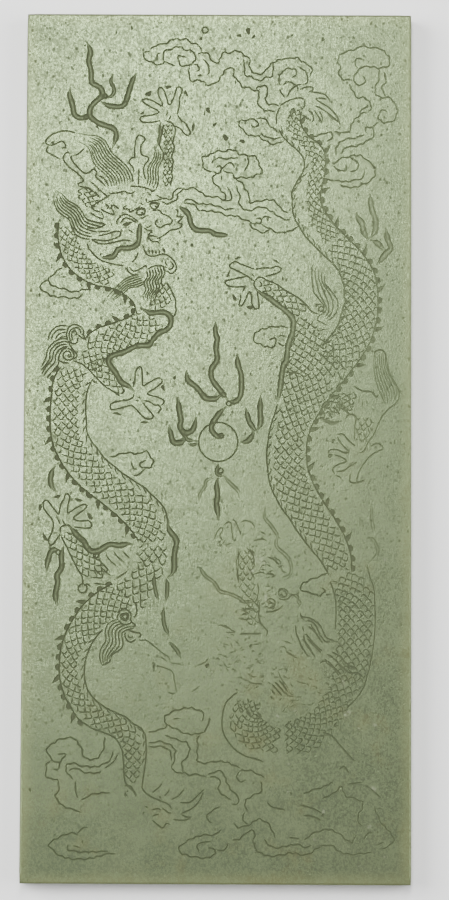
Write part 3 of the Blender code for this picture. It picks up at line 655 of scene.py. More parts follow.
RISING_FRINGES = (
    (38.5, 189, 40, 188.5, 41.5, 187.6, 45.5, 188, 47, 187.6, 48.2, 186.5, 48.5, 184.8, 48, 183, 46.5, 181.8,
    44.5, 181, 42.2, 178.3, 41.5, 176.9, 39.5, 176.8, 37, 176.6, 33, 174.6, 29, 173.3, 27.9, 172, 28.2,
    170.4, 30.4, 167.6, 32.2, 164.6, 34.8, 163.2, 36.2, 161.6), (15.2, 117.3, 17.5, 114.4, 20.3, 111.8, 21.2,
    110.2, 22.5, 108.8, 24, 108.5, 25.5, 109, 28.7, 110.9, 32, 110.6, 35, 111.2, 36.4, 110.8), (47.9, 119,
    48.2, 116, 49.5, 114.3, 50.8, 112, 50.2, 108.8, 50, 106, 50.1, 103.5, 49.5, 101.5, 48, 100),
)
RISING_FRINGE_WORN = (
    (47.4, 99.8, 47.8, 98, 47.7, 94, 47.3, 92.3), (46.8, 90.3, 46.5, 88.5, 46.9, 84.5, 48.5, 81), (48.6, 79,
    51, 76.4, 52.4, 73.8), (43.9, 101.3, 43.4, 99.5, 44, 95.5, 45, 92.4),
)
RISING_FORE_ARM = (
    (16.2, 171.6, 19, 170.6, 21.2, 169, 23, 167, 24.9, 165, 27.5, 162.7, 30, 161.2, 31.9, 159.9), (36.4, 161,
    36.1, 159.6, 34, 158.6, 32.7, 159),
)
RISING_FORE_PAW = (
    (34.5, 158.6, 31, 158.2, 28.8, 157.3, 28.9, 155.5, 31.3, 155.8, 34.4, 156.7, 35.7, 156.9, 36.9, 156,
    38.9, 153.7, 41, 152.3, 42.9, 153, 42.5, 154, 40.8, 156, 39.3, 158), (39.7, 158.4, 41, 158.3, 43.4,
    157.1, 44.7, 156.9, 45.7, 155.4), (45.2, 157, 46.3, 157.6, 46.2, 158.6, 43.8, 159.8, 41.2, 160.4, 41,
    161.2, 43.6, 162.8, 45.7, 164.8, 44.5, 166.1, 41.2, 164.4, 39.3, 163.3, 39.2, 165.2, 38.9, 169, 38,
    169.8, 36.9, 168, 36.7, 165.4, 36.2, 163), (37.5, 159.7, 38.8, 159.3), (36.8, 158.6, 38, 158.4),
)
RISING_FORE_CLAWS = (
    (29.3, 154.2, 30.8, 154.7, 32.4, 153.5, 30.5, 153.8), (38.4, 151.1, 40, 151.8, 41.3, 151.2, 39.8, 150.9),
    (43.9, 154.2, 45, 155.8, 45.5, 155.9, 44.8, 154.3), (45.2, 162.9, 46, 163.8, 46.7, 161.3), (39.8, 169,
    40.5, 168.2, 42.1, 167.1, 40.6, 167.6),
)
RISING_HIND_PAW = (
    (12, 120.6, 9.9, 123, 8, 125.4, 6.7, 124.5, 7.5, 121.9, 10, 118.6, 9.9, 115.3, 8.6, 112.2, 9.5, 110.4,
    11.2, 112.3, 12.4, 114.3), (12, 120.6, 12.5, 123.7, 13.6, 125.8, 14.1, 127.6, 15.5, 126.8, 15, 124, 14.9,
    121.2, 17.2, 122.7, 19.8, 124, 21.3, 123.5, 19.5, 121.8, 16.7, 119.5, 18.7, 118.6, 21.8, 118.7, 22.9,
    117.2, 22.2, 116.3, 19.2, 116.4, 16.6, 116.6), (11.5, 119.5, 12.4, 117.5), (13.2, 119, 13.9, 117.5),
    (12.4, 114.3, 12.7, 116.5, 14.8, 117.3, 16, 116.8), (12.5, 113.8, 14.2, 110.9, 15.7, 107.8, 17.3, 104.7,
    18.2, 102.9, 19.9, 100, 19.9, 97), (20.5, 97.2, 21.3, 97.9, 22.7, 97), (23.6, 98.2, 27.4, 97.7),
)
RISING_HIND_CLAWS = (
    (5.8, 124.3, 6.5, 123.2, 5.7, 121.8, 5.2, 122.9), (10, 126.4, 12, 127.3, 12.6, 126.9, 11.8, 126.1),
    (17.1, 126.1, 19, 125.9, 19.8, 125.2, 18.3, 124.8), (21.3, 121.3, 22.3, 121, 23.2, 119.2, 21.8, 119.4),
    (6.6, 114.8, 8, 113.3, 8.6, 112, 7.2, 112.3),
)
RISING_FLAMES = (
    (10.6, 136.6, 9.6, 135, 9.1, 132, 9.8, 129.4, 11.2, 128.4), (8.2, 102, 8.2, 104.2, 9.3, 108, 10.4, 109.2,
    12.8, 108.8), (13.5, 110.2, 12.9, 107, 13, 103.4, 11.5, 100.7, 11.9, 98.7, 11.1, 94.5, 11.6, 90.6),
)
RISING_TAIL_MARKS = (
    (33, 37.3, 34.8, 37.5), (34, 32, 36.5, 31.6, 37.8, 28.8), (41, 25.3, 42, 24.8), (43.2, 24.2, 45.5, 24.5,
    46.2, 23.8), (46.5, 24.9, 48.4, 23.4, 49.6, 23.2), (43.5, 22.2, 45.6, 22.9), (43.4, 20.9, 44.3, 20, 46.8,
    18.3, 48, 19.8, 49.2, 19.4),
)
RISING_TAIL_FAN = (
    (46.4, 32.6, 45.4, 31.4, 43.3, 29.7), (47.4, 28.8, 48.4, 29.8, 49, 31), (49.6, 27.6, 52, 28.8, 53.6,
    30.8), (52.4, 26.6, 55.6, 26.7, 58, 28.7, 60.2, 30.9), (60, 30, 58.8, 27.2, 56.8, 25, 54, 23.5, 52.8,
    23.1), (52.8, 22.8, 54.8, 21.8, 56, 21.9, 53.8, 20.8, 50.3, 21.1),
)
RISING_SHOULDER_SCROLLS = (
    (14.4, 178.6, 14, 180.5, 14.5, 182.5, 15.8, 183.5, 17.3, 183.6, 18.8, 182.9, 19.5, 181.7, 19.6, 180,
    20.6, 178.5), (15.8, 177.8, 14.9, 179.2, 14.9, 181, 15.5, 182, 16.5, 182.6, 17.8, 182.5, 18.6, 181.5,
    18.7, 180.4), (16, 178.5, 15.7, 179.6, 15.7, 181, 16.5, 181.6, 17.2, 181.2, 17.2, 180.3, 16.6, 180.1),
    (17.5, 180.5, 19, 179.3, 20.7, 178.4), (17.8, 179.7, 17.6, 178.1, 17, 177.3, 15.5, 177.5, 14.3, 178.4),
    (7.8, 178.2, 8.4, 180.6, 10, 182.5, 11.8, 183.3, 14.3, 183.2), (8.9, 178.6, 9.6, 180.4, 11.2, 181.8,
    13.8, 182), (10.2, 178.8, 11.2, 180.2, 12.4, 180.9, 13.8, 181), (11.2, 178.8, 12.4, 179.5, 13.9, 179.8),
    (5.7, 169.5, 7.2, 172.5, 7.7, 175, 9, 177, 10.8, 178.4, 13.2, 179, 14.4, 178.6), (5.6, 168.2, 8.2, 171.8,
    8.5, 174.5, 9.7, 176.3, 11.3, 177.5, 13.5, 178, 14.6, 177.6, 16, 175.5, 17.5, 173.7, 17.4, 172.9, 16.3,
    172), (5.9, 167.2, 7.5, 169.8, 9.2, 171.8, 9.6, 174, 10.5, 175.7, 12.5, 177, 14.3, 177), (6.5, 166.5, 8,
    168.7, 10.2, 171.2, 10.4, 173.3, 11.3, 174.8, 12.7, 176, 14.6, 176.3), (7.6, 165.8, 9.5, 168.2, 11.3,
    170.3, 11.3, 171.8, 11.6, 173.1, 12.2, 174.6, 13.6, 175.7, 15.1, 175.5, 16.2, 174.5, 16.5, 173.2, 16,
    172.2, 14.9, 171.8, 13.7, 172, 12.9, 173, 13.1, 174.2, 14.2, 174.9, 15.4, 174.3, 15.6, 173.2, 14.7,
    172.8, 14.3, 173.4, 14.6, 173.9), (11.3, 172.2, 12.1, 171.4, 13.3, 170.9, 15, 170.9),
)
RISING_THIGH_SCROLLS = (
    (31.7, 86, 31.5, 87.5, 33, 89.6, 34.2, 89.7, 36, 88, 35.8, 86, 37.5, 84.3, 36, 84), (32.9, 88, 32.6,
    86.8, 34.3, 85.7, 35.2, 87.5, 34.6, 88.4, 32.9, 88), (31.9, 86, 33.4, 84.5, 35.6, 85, 36.4, 85.5), (34.2,
    82, 34, 80.8, 35.5, 78.8, 37.6, 79.8), (35.3, 81.5, 35.1, 80.6, 36.4, 80.3, 36.4, 80.9), (34.9, 83, 37,
    82.1, 39.1, 81.8, 39.2, 80.9, 38.4, 80.5), (26.4, 71.2, 28.7, 72.2, 29.5, 73.4), (37.4, 92, 37.9, 88.8,
    36.8, 86.6),
)
RISING_THIGH_HAIR = (
    (25, 107, 25.8, 105.3, 29, 102), (27.4, 108.2, 28.6, 106, 31.4, 103.6), (30, 108.8, 31.2, 107, 33.6,
    105), (33, 109, 34, 107.6, 35.8, 106.2), (26.2, 103.4, 27.8, 101.6, 29.6, 100.6), (23.6, 103.6, 24.8,
    101.8, 26.4, 100.6), (30.4, 99.4, 34, 101.6, 35, 103),
)
RISING_FAR_LEG = (
    (38.2, 79.8, 39.5, 79.4, 41, 79.5, 43.9, 77.3, 46.5, 75.3, 48.6, 73.8, 48.8, 72.5), (44.5, 73.8, 45.8,
    74, 47.9, 72.6), (44, 71.2, 47, 70.6, 49.8, 69.1, 50.3, 66.5, 51, 63, 50.8, 62), (49, 72.2, 50.6, 72,
    53.4, 71.5), (56.2, 62.8, 58.8, 64.6), (57.8, 71.3, 60.4, 72.4, 61.6, 74),
)
RISING_FAR_CLAWS = (
    (43.2, 72.3, 43.9, 72.2, 43.9, 69.5, 43.3, 69.6), (48.2, 62.5, 51, 62.2, 49.6, 61.8), (60.4, 71.6, 61.8,
    72, 61, 70.4),
)

# The rising dragon's locks of hair: two borders and the number of strands
RISING_MANE_LOCKS = (
    ((16.5, 247.8, 20.5, 247.1, 24, 246.7, 26.6, 244.6, 28.2, 241.6, 31, 238.9, 33.7, 236.3, 35.3, 233.4,
    35.6, 231), (17.5, 244.8, 19.8, 243.6, 21.3, 241.6, 22, 239, 22.9, 237.2, 24.6, 235.4, 26.6, 233.6, 27.9,
    232, 28.5, 229.8), 9), ((43.5, 243.7, 42.8, 241.5, 42.2, 239, 40.9, 237.1, 40.4, 235, 40.7, 232.7, 40.1,
    230.2), (44, 243.6, 45.4, 241.2, 45.2, 238.6, 44, 236.6, 43.9, 234, 44, 231.6, 43, 228.6), 5),
)
RISING_CHEEK_LOCKS = (
    ((10, 228.3, 9.3, 226.3, 9.6, 224, 10.4, 221.9, 12.2, 220.2, 14.3, 218.8, 15.2, 216.5, 16.5, 213.9, 19,
    212.5, 21.5, 212.2), (10.1, 228.4, 12.2, 227.2, 13.4, 225.6, 15.2, 224.4, 17.3, 223.2, 19, 220.9, 20.6,
    218.6, 23.5, 217.8, 26.2, 217), 7), ((37.8, 200.4, 34.6, 199.6, 32, 198, 30.2, 196, 28.6, 194.4, 27.4,
    192.8), (39.8, 197.6, 37.4, 196.4, 34.8, 196, 33, 194.4, 31.2, 193.2, 29.4, 191.8), 6), ((40.2, 202,
    40.6, 199.8, 39.4, 197.6, 40.2, 195.4, 39.2, 193.6, 39.6, 191.8), (45.6, 203.2, 46.4, 200.8, 45, 198.4,
    45.6, 196.2, 43.8, 194, 42.8, 191.4), 7),
)
RISING_KNEE_LOCK = (
    (31.6, 86.2, 28.9, 85.3, 27.5, 82.5, 27.8, 79.3, 26.2, 76.6, 25.8, 73.7, 26.6, 71), (37.3, 83.6, 34,
    82.6, 33, 81.5, 33.4, 78, 32.6, 76.6, 29.8, 74.5, 29.5, 73), 6,
)

# Its fields of scales: left and right border, a scale's width and the pitch of the rows
RISING_ARM_SCALES = (
    (48.4, 251, 48.6, 246, 48.3, 240, 47.8, 230), (45.6, 251, 45.6, 246, 45.8, 240, 45.6, 230), 1.5, 1.25,
)
RISING_SCALES = (
    ((24.6, 221.6, 22.2, 222.2, 20.2, 223.4, 18.2, 225.4), (24.4, 227.4, 21.6, 228.8, 18.6, 229.2, 15.4,
    227.6), 2.0, 1.5), ((16.2, 216.4, 16.6, 213.4, 17.8, 210.2, 19.8, 207, 22.8, 204.4, 26.6, 202.4, 31.2,
    201.6), (11.2, 217.4, 11.6, 212.6, 12.6, 208.6, 14.6, 204.6, 18, 201, 22, 198.4, 27.4, 196.8), 2.0, 1.3),
    ((47.6, 198.4, 48.2, 195, 48.6, 191.6, 47.4, 188.4), (43.6, 197.4, 43, 194, 41, 190.6, 38.4, 188.4), 2.2,
    1.4), ((47.4, 185, 43.6, 180.4, 40.6, 177.4, 35, 176.2, 29, 173.6, 26.6, 171, 25, 168), (37, 188.6, 34,
    185.4, 28, 183.2, 23.4, 181, 20.8, 178.4, 19, 174, 17.6, 171.4), 2.8, 1.55), ((27.6, 172.5, 27.6, 170,
    30, 166.6, 32.6, 163.4, 36, 161.4), (17.4, 171.6, 22, 168.6, 26, 164.6, 30, 161.4, 33, 159.4), 2.5, 1.7),
    ((21.6, 170, 19, 164, 18.2, 156, 18.2, 149, 20.4, 143.6, 25, 138.4, 30, 134, 36, 130, 41, 126, 44.6,
    121.6, 46.4, 117, 47.4, 112), (12.6, 169.6, 10.4, 163, 9.6, 156, 9.7, 149, 11.6, 141.8, 15.6, 135.4,
    21.2, 129.6, 27, 125.2, 32.4, 120.8, 36.4, 116, 38.2, 112, 38.6, 109), 2.8, 1.55), ((47.4, 112, 47.4,
    104, 44.4, 98, 41, 91.6, 38.6, 86), (38.6, 109.4, 38.2, 106, 36.2, 102, 32.6, 98.6, 30, 97), 3.1, 2.0),
    ((40, 92, 31.4, 87.6, 26, 83.6, 22.2, 80, 19.6, 75, 18.6, 69, 19.6, 64, 23, 59, 28, 55.8, 34, 53.4, 38.6,
    49.6, 39.6, 44, 39.4, 38, 38.6, 32), (30, 97.4, 24.6, 94.4, 19.8, 89.6, 16.4, 84.4, 13.8, 77.8, 13.2, 70,
    14.2, 63.4, 18.2, 56.4, 25, 50.6, 31, 48, 33.4, 44.4, 34.2, 40, 34.6, 35, 35.4, 32.4), 2.7, 1.5), ((17.6,
    116.6, 20, 113, 22.6, 109.4, 26.6, 105, 31, 100.4), (12.8, 114.6, 15, 110.2, 17.4, 105, 20, 100.4, 24.4,
    98.6), 2.5, 1.8),
)

# The pearl and its flames
PEARL = (64.3, 144.9, 6.45)
PEARL_FLAMES = (
    (63.2, 184.8, 63.2, 181, 63.8, 179.3, 63.4, 175.8, 63.8, 172.2, 61.9, 169, 62.2, 165.7, 64.4, 162.6,
    67.3, 159), (53.6, 168.7, 54.2, 165.3, 57, 163, 59.3, 160.2, 60.4, 159.2, 63.6, 159.3, 65.3, 161), (70.4,
    174.3, 70.7, 170.5, 71.8, 167, 71.7, 161, 70, 158.3, 67.3, 158.6), (66.8, 156.6, 64.3, 154, 62.2, 150.6,
    62.1, 148.8, 64.3, 146.4, 65.9, 147), (50.9, 159.7, 51.3, 156, 52, 152, 51.6, 150, 53.2, 147.9, 55.9,
    148.8, 57, 153), (48, 150.3, 49.2, 145.4, 50.3, 144.4, 53, 145, 52.6, 146.3), (73.3, 156.2, 74.3, 152.3,
    75, 150.8, 77.2, 148.2), (78.2, 160.3, 78.1, 155.5, 78.2, 151, 76.8, 148.6), (71.5, 145, 74, 145.2, 75.9,
    147.8, 75.8, 149), (64.4, 133, 63.8, 131, 64.2, 127, 63.8, 124.8, 64.4, 120.8, 64.2, 119),
)
PEARL_FLAMES_THIN = (
    (51.6, 147.9, 53.6, 146.6, 54.2, 145.6, 56.8, 145.2), (54.5, 144.4, 55.5, 143.9, 57.6, 144.3), (64.2,
    138, 64.2, 136.8, 63.7, 135.5, 64, 134.2, 66.4, 133.6), (62.6, 133.4, 60.3, 132, 60.2, 130.4, 58.3,
    127.6, 58.4, 124.8), (66.6, 134, 67.3, 132.4, 69.4, 130.3, 71.2, 128.4, 71.3, 126.6),
)

# The falling dragon: tail and its fan
FALLING_TAIL_END = (
    (84.3, 257.2, 86.8, 258.8, 90, 259.8, 91.8, 259.7, 92.5, 258.8, 92.4, 257.2, 91.6, 256), (84.3, 256.8,
    83.2, 254, 83.2, 250.9),
)
FALLING_FAN = (
    (94.5, 262, 98.5, 261.3, 99.8, 260.5, 101, 258.7), (96.9, 259.9, 96.2, 259.4, 98.2, 258.1, 101.3, 256,
    103.6, 253, 104.2, 250.8), (96.9, 259.9, 99.8, 259.5), (96.1, 257.2, 98.2, 256.2, 100.8, 254.3, 104,
    251.6), (95.7, 255.6, 97.3, 253.3, 98.2, 251.3), (97.2, 255.5, 98.5, 253, 98.2, 252), (94.6, 255.5, 95.5,
    253, 94.9, 251.8), (93.7, 255.7, 94.5, 254.8), (91.6, 254.2, 94.6, 252.2), (99.8, 254.8, 102.4, 252.4),
    (90.8, 262.6, 93, 263.5, 95.3, 263.4, 94.7, 262.2, 93.8, 261.9),
)
FALLING_BELLY_TOP = (
    84, 249.2, 85, 247.2, 87.4, 244.5, 90, 242.4, 91.9, 240, 92.5, 237.8, 92, 235, 90.6, 232.8, 88.8, 229.3,
    88.3, 228, 88.4, 225.8, 88.6, 222, 89.6, 218.8, 91.4, 215.7, 93.2, 213, 95.3, 210.8, 98.1, 207.9, 100.2,
    206, 102.3, 204, 104, 201.7, 105, 199.2, 105.8, 196.4, 105.7, 193.5, 106.2, 192, 105.2, 189, 104, 184.5,
    102.3, 181.5, 100.2, 179, 98.5, 176.8,
)
FALLING_BACK = (
    91.6, 255.4, 91, 252.6, 92, 249.4, 94.3, 246.6, 97, 244.6, 99, 242, 99.5, 238, 99.2, 234, 98.2, 229.6,
    97.8, 226, 99.2, 222, 101.8, 218.2, 105.8, 213.9, 110.4, 209.4, 113.6, 205.2, 115.8, 201, 116.6, 197,
    116.9, 194, 116.8, 188, 115.7, 182, 113.5, 176.5, 110.2, 171.5, 106.5, 166.5, 102.5, 161.5, 98.4, 156,
    95, 150, 93.5, 144, 93.6, 138, 95.4, 132, 98.6, 126, 102.6, 120, 106, 114, 108, 108, 108.3, 105, 108.2,
    102,
)
FALLING_BELLY_LOW = (
    83.8, 157.6, 83.2, 155.3, 82.2, 152.3, 81.3, 149, 80.6, 144, 80.3, 140, 80.7, 136, 81.2, 132, 82.2, 129,
    83.9, 125.5, 85.6, 122.6, 87.8, 119.8, 90, 116.2, 92.5, 112.8, 95.2, 109.3, 98.2, 105.8, 100.2, 102.5,
    101, 101,
)
FALLING_BELLY_END = (101.4, 99, 102.9, 94, 103.3, 89.6, 103.1, 85, 103, 83)
FALLING_OUTER = (
    113.4, 104.5, 114.5, 100, 115.6, 97, 116, 92.5, 116.1, 85, 115.5, 77.8, 114.4, 71.5, 113.5, 68, 112.2,
    64, 109.6, 60.3, 106.5, 57.4,
)
FALLING_FRINGES = (
    (76.6, 195.8, 77.5, 194.8, 80.3, 193.2, 83.3, 190.9, 86.3, 188.6, 88.3, 186.6, 89, 184.9, 88.6, 181,
    87.3, 177.4, 86.9, 173.5, 86.7, 171.8, 85.6, 170, 84.8, 164, 84, 158.4),
)
FALLING_BANDS = (
    (79.8, 123.2, 79.8, 119.8, 81, 118.4, 83.2, 115.4, 83.9, 113.8, 83.6, 110.6, 86.8, 107.6, 88, 105.8,
    88.6, 103, 88, 101, 85.4, 100), (97.5, 153, 101, 151.6, 102.6, 151.4, 104.4, 152.2), (57.5, 103.6, 58.6,
    103.2, 60.2, 100.8, 63.2, 98.6, 65, 95.8, 68.4, 94.8, 71.6, 93.4, 73, 92.2, 76, 92.8, 77, 93.8),
)
FALLING_FORE_ARM = (
    (76.6, 195.8, 75.9, 197, 76.2, 198.5, 78, 199.8, 80.3, 198.6, 83, 197.6, 86.5, 195.2, 90.3, 193, 93.5,
    190.2, 95, 188.3, 97.2, 187.5),
)
FALLING_FORE_PAW = (
    (76.2, 202.3, 79, 202.8, 81.9, 202.8, 83.3, 203.4, 85, 202.4, 83.4, 201, 79.3, 199.9), (76.2, 202.3,
    73.8, 203.2, 71.5, 204, 69.6, 204.9, 67.8, 203.8, 68, 202.9, 70.5, 201.7, 73.3, 200.2, 76, 198.3), (73.5,
    200, 70.8, 199.4, 66.7, 198.5, 66.4, 197.7, 67.2, 196.8, 69.8, 196.4, 72.8, 196.5, 72, 194.8), (71.3,
    194.2, 71.6, 192.8, 70.9, 190.6, 71.6, 190, 72.8, 191.6, 74.4, 195, 75.2, 192.8, 75, 191.5, 76, 189.3,
    77.5, 189.4, 77.3, 192.7, 76.8, 195.4), (75, 201, 75.8, 200),
)
FALLING_FORE_CLAWS = (
    (69.5, 205.3, 69.7, 206.3, 71.8, 206.6, 70.6, 205.7), (82, 205.7, 83.5, 205.3, 84.6, 204.1, 82.6, 204.9),
    (67.8, 201.8, 66.6, 199.8, 67.7, 199.8), (68.7, 194, 69.6, 193.4, 70.3, 192.2, 69.6, 191.6, 68.9, 192.4),
    (73.3, 189.9, 75, 190.3, 75.6, 189.4, 74.6, 188.9),
)
FALLING_ELBOW = (
    (98.6, 187.6, 97.4, 187, 96.9, 185.5, 98.2, 184.8, 100, 183.8), (96.5, 190.2, 97.3, 190.7, 98.2, 190.7),
    (100.3, 182.6, 98.4, 182.2, 97.6, 181.4), (98.2, 181, 98.7, 180), (99.7, 188.6, 98.6, 187.6), (101,
    188.7, 99.9, 187.3), (101.3, 187.5, 100.2, 186.3),
)
FALLING_HIND_LEG = (
    (115.9, 173.5, 115.9, 175, 117.8, 175.7, 119.4, 174.4, 120.1, 171, 120.9, 167.5, 122.9, 164.2, 124.1,
    161, 122.8, 158, 120.4, 156, 118, 153, 115.8, 148, 113.8, 145, 112.4, 142.2, 111, 141.6), (109, 163.6,
    111.8, 162, 114.6, 161.8, 116.4, 160, 117.2, 160.8), (105.2, 156.8, 107.4, 154.4, 108.8, 154.1, 109.8,
    153, 109.4, 150.6, 109.2, 146), (104, 158.6, 104.3, 157.2, 104, 155.6), (102.6, 156.6, 104.4, 154.2),
    (100.8, 155, 101.8, 153),
)
FALLING_HIND_PAW = (
    (103.6, 147.6, 105.4, 147.7, 107.2, 145.6, 109.5, 143.8), (103.5, 146.8, 104.8, 144.6, 107.4, 141.8,
    105.6, 141.6, 103.2, 142.6, 100.9, 142.2, 100.6, 141.3), (102.6, 140.8, 105.2, 139.9, 106.6, 138.6,
    104.2, 137.8, 102, 136.2, 102.8, 134.6), (103.4, 135.4, 105.4, 135.5, 107.6, 137, 110, 138.4), (110.2,
    131.6, 110.2, 133.4, 111.6, 136.8, 114.2, 140.2, 116.4, 141.8, 118.6, 142.8), (114.6, 143.8, 116.8,
    144.8, 118, 143.8), (107.9, 134.5, 107.8, 131.9, 110.2, 131.7, 112.6, 132.6),
)
FALLING_HIND_CLAWS = (
    (101.8, 144.6, 102, 146.2, 102.9, 145.8, 102.4, 144.8), (100.3, 140.3, 101.2, 141.3, 102.2, 140.8, 101.2,
    139.9), (102.6, 134.2, 104, 134, 105.2, 132.8), (116.8, 144.9, 118.3, 144.3, 118.9, 142.7),
)
FALLING_FLAMES = (
    (116.5, 204, 118.8, 206.8, 119.6, 208, 121.2, 209.4, 120, 213, 119.5, 216.2), (119.2, 208.5, 116.8,
    211.2, 114.3, 212.3), (114.2, 212.8, 116, 215.5, 116, 219.5, 114.9, 222.5, 114.1, 227.8), (113.8, 211.9,
    112, 215.5, 111.8, 217.6, 110, 220, 109.8, 221.5),
)
FALLING_FLAMES_THIN = (
    (113.8, 105, 116, 107, 117, 109, 116, 112, 114.6, 113.4, 113, 113.2), (114.8, 125, 115, 119, 116, 114.8),
    (110.8, 120.6, 111.4, 118.6, 111.2, 116.2),
)

# The falling dragon's neck, mane and head, much worn
FALLING_NECK = (
    (71, 62.6, 68.4, 60.5, 66.8, 58, 66, 53, 66.8, 48.6, 70, 44.2, 73.8, 41.8, 77.4, 40.8, 79.6, 39.9), (71,
    57.4, 72.3, 57.4, 73, 56.2), (73.8, 57.3, 75.6, 54.8), (71.8, 59, 72.2, 58.2), (99, 49.8, 102, 48.5,
    103.8, 46.4, 105.8, 44.2, 108.4, 41.2, 109.4, 40.4), (102.4, 51.6, 103.8, 53), (101.2, 75, 103.8, 72.6,
    107.5, 69.2, 110, 69.3, 112, 68), (100, 72.5, 102.8, 70.6, 105, 68.6),
)
FALLING_FACE = (
    (82.2, 70.6, 83, 70, 83.4, 70.4), (84.3, 69.5, 84.8, 68, 86.6, 65.4, 87.8, 63.8), (84.6, 70, 86, 70.4),
    (87.2, 77, 87.2, 75.8, 89.8, 74.2), (86, 79.6, 88.8, 78.6), (90.2, 66.4, 93, 65.4), (64.4, 84.2, 65.6,
    84.6, 67.6, 83.6, 68.6, 83.4), (67.2, 82.4, 68.2, 82.2, 70.6, 82.3), (83, 106, 84, 104.8, 85.2, 105.4),
    (85.4, 104, 85.6, 102.2, 86.6, 102.1), (80.4, 101.4, 82.4, 101.2, 83, 100.4), (76.2, 101.3, 79, 102.3),
    (84.2, 96, 85.2, 96.6, 87, 94.9, 86.4, 94, 84.7, 94.9), (87.4, 95.2, 90, 94, 91.8, 92, 90.8, 90.6),
    (80.2, 92, 80.8, 93, 81.8, 93.4), (80.9, 91.4, 82.6, 91.8, 83.2, 91, 81.4, 90.2, 80.9, 90.8), (81.6, 89,
    84.2, 89.8, 86, 91.2), (63, 112.4, 64, 114.9, 65.4, 116.6, 66, 116, 65, 114, 66, 112.5), (66.4, 117.5,
    67.4, 118.4, 68.6, 118.2, 69, 115, 69.6, 112), (69, 118.9, 70, 118.9, 72, 114), (72, 118.4, 73.4, 119,
    75.4, 118.4, 76.6, 116.6), (78, 115.6, 80.2, 114.4), (76, 112.4, 79, 112.9, 80.4, 112.4), (72, 109, 70.6,
    106, 70.6, 103, 71, 99), (74, 110, 76.2, 106.8, 75.4, 103.8), (79.4, 95.5, 79.4, 94), (77.6, 93, 78.2,
    91, 78, 87, 79.8, 83.6, 81, 82.6, 80.2, 80.8), (71.5, 81.6, 75.6, 81.8, 79, 82),
)


# Loose strands of the falling dragon's worn mane
FALLING_MANE = (
    (91.5, 88.5, 92, 87.4, 93.3, 87.3, 94.8, 86.9, 96.4, 86, 97.6, 85, 98.5, 83.8, 99, 82.6, 99.8, 81, 101,
    80.1, 103, 79.4), (93.2, 86, 95, 86, 96.4, 84.8, 97.2, 83.4, 97.8, 82, 98.6, 80.8, 99.6, 79.4, 101.4,
    79.2), (94, 84.4, 95.6, 83.2, 96.8, 82, 97.8, 80.4, 98.8, 79), (95, 85, 96.2, 83, 97.2, 81.4), (93, 82,
    94.4, 80.6, 95.8, 78.8, 97.2, 77.4, 98.8, 76.2), (90, 84.6, 90.2, 82, 91, 80.2, 91.6, 78.4, 92.4, 76.8,
    93.6, 75.6), (92.6, 81.4, 93, 79.4, 94, 77.6, 95.4, 75.8), (91.6, 88.8, 91.8, 87.6, 92.6, 86.4), (92.2,
    84.2, 92.8, 82.6), (98, 72.2, 99.2, 73, 100.4, 72.6), (82.2, 65.4, 84, 63.4, 85.6, 61.6), (83.4, 66,
    85.2, 64, 86.6, 62.2), (82.2, 63.4, 83.4, 61.8), (84.6, 66.6, 86.2, 64.8, 87.4, 62.8), (81.8, 61.4, 82.6,
    60.4), (100.4, 75.2, 102.8, 73.6, 105, 71.4, 106.4, 70.2), (99.6, 73.6, 101.6, 72, 103.6, 69.6), (92.2,
    80.2, 94, 78.2, 95.2, 76, 96.4, 74.4), (91.4, 78.8, 92.6, 76.6, 94.4, 74.2), (93.8, 80.2, 96, 78, 98.4,
    75.6), (101.8, 76, 104.6, 74.4, 107.4, 71.6, 110.4, 70.4),
)

# Areas of short worn marks: place, half sizes, lean in degrees and number of marks
WORN_AREAS = (
    (75, 74, 5, 6, 15, 20), (68, 75, 4, 7, -20, 16), (75, 88, 3.6, 3.6, 10, 13), (85, 65, 4.4, 6, -50, 20),
    (90, 58, 6, 4, 20, 16), (98, 66, 4, 4.6, -30, 13), (88, 75, 2.8, 6, -55, 11), (82, 93, 4, 5, 10, 11),
    (68, 114, 4.4, 5, 60, 10), (81, 104, 5, 4, 20, 12), (109, 45, 4, 6, -45, 8), (76, 66, 5, 3, 0, 10),
)

# Loose marks on the falling dragon's hind leg, and what is left of its head
FALLING_LEG_MARKS = (
    (115.2, 162.8, 115.8, 160.6, 116.6, 159.8, 117.4, 161.6), (105, 159.6, 105.4, 157, 106.8, 155.4), (107.8,
    162, 107.5, 160, 107.6, 158.4), (108.6, 162, 109.4, 160.4), (111, 160, 110.6, 157.8), (112, 159, 111.8,
    156.2), (113.2, 158.8, 113.4, 157.4), (101, 156.4, 102, 154.4, 102.2, 153), (102.6, 157, 103.8, 155,
    104.6, 153.6), (103.4, 159, 104.2, 157.4, 104, 156.2), (118.4, 160.2, 118.8, 158.4), (106, 152.6, 107.6,
    154.2, 109.6, 154),
)
FALLING_DASHES = (
    (103, 162.6, 104.6, 164.6), (100.8, 159.8, 102.4, 161.6), (98.2, 156.6, 100, 158.6), (97.2, 152.8, 99.2,
    153.2), (99.4, 152.2, 101.6, 151.2, 104.2, 151.8),
)
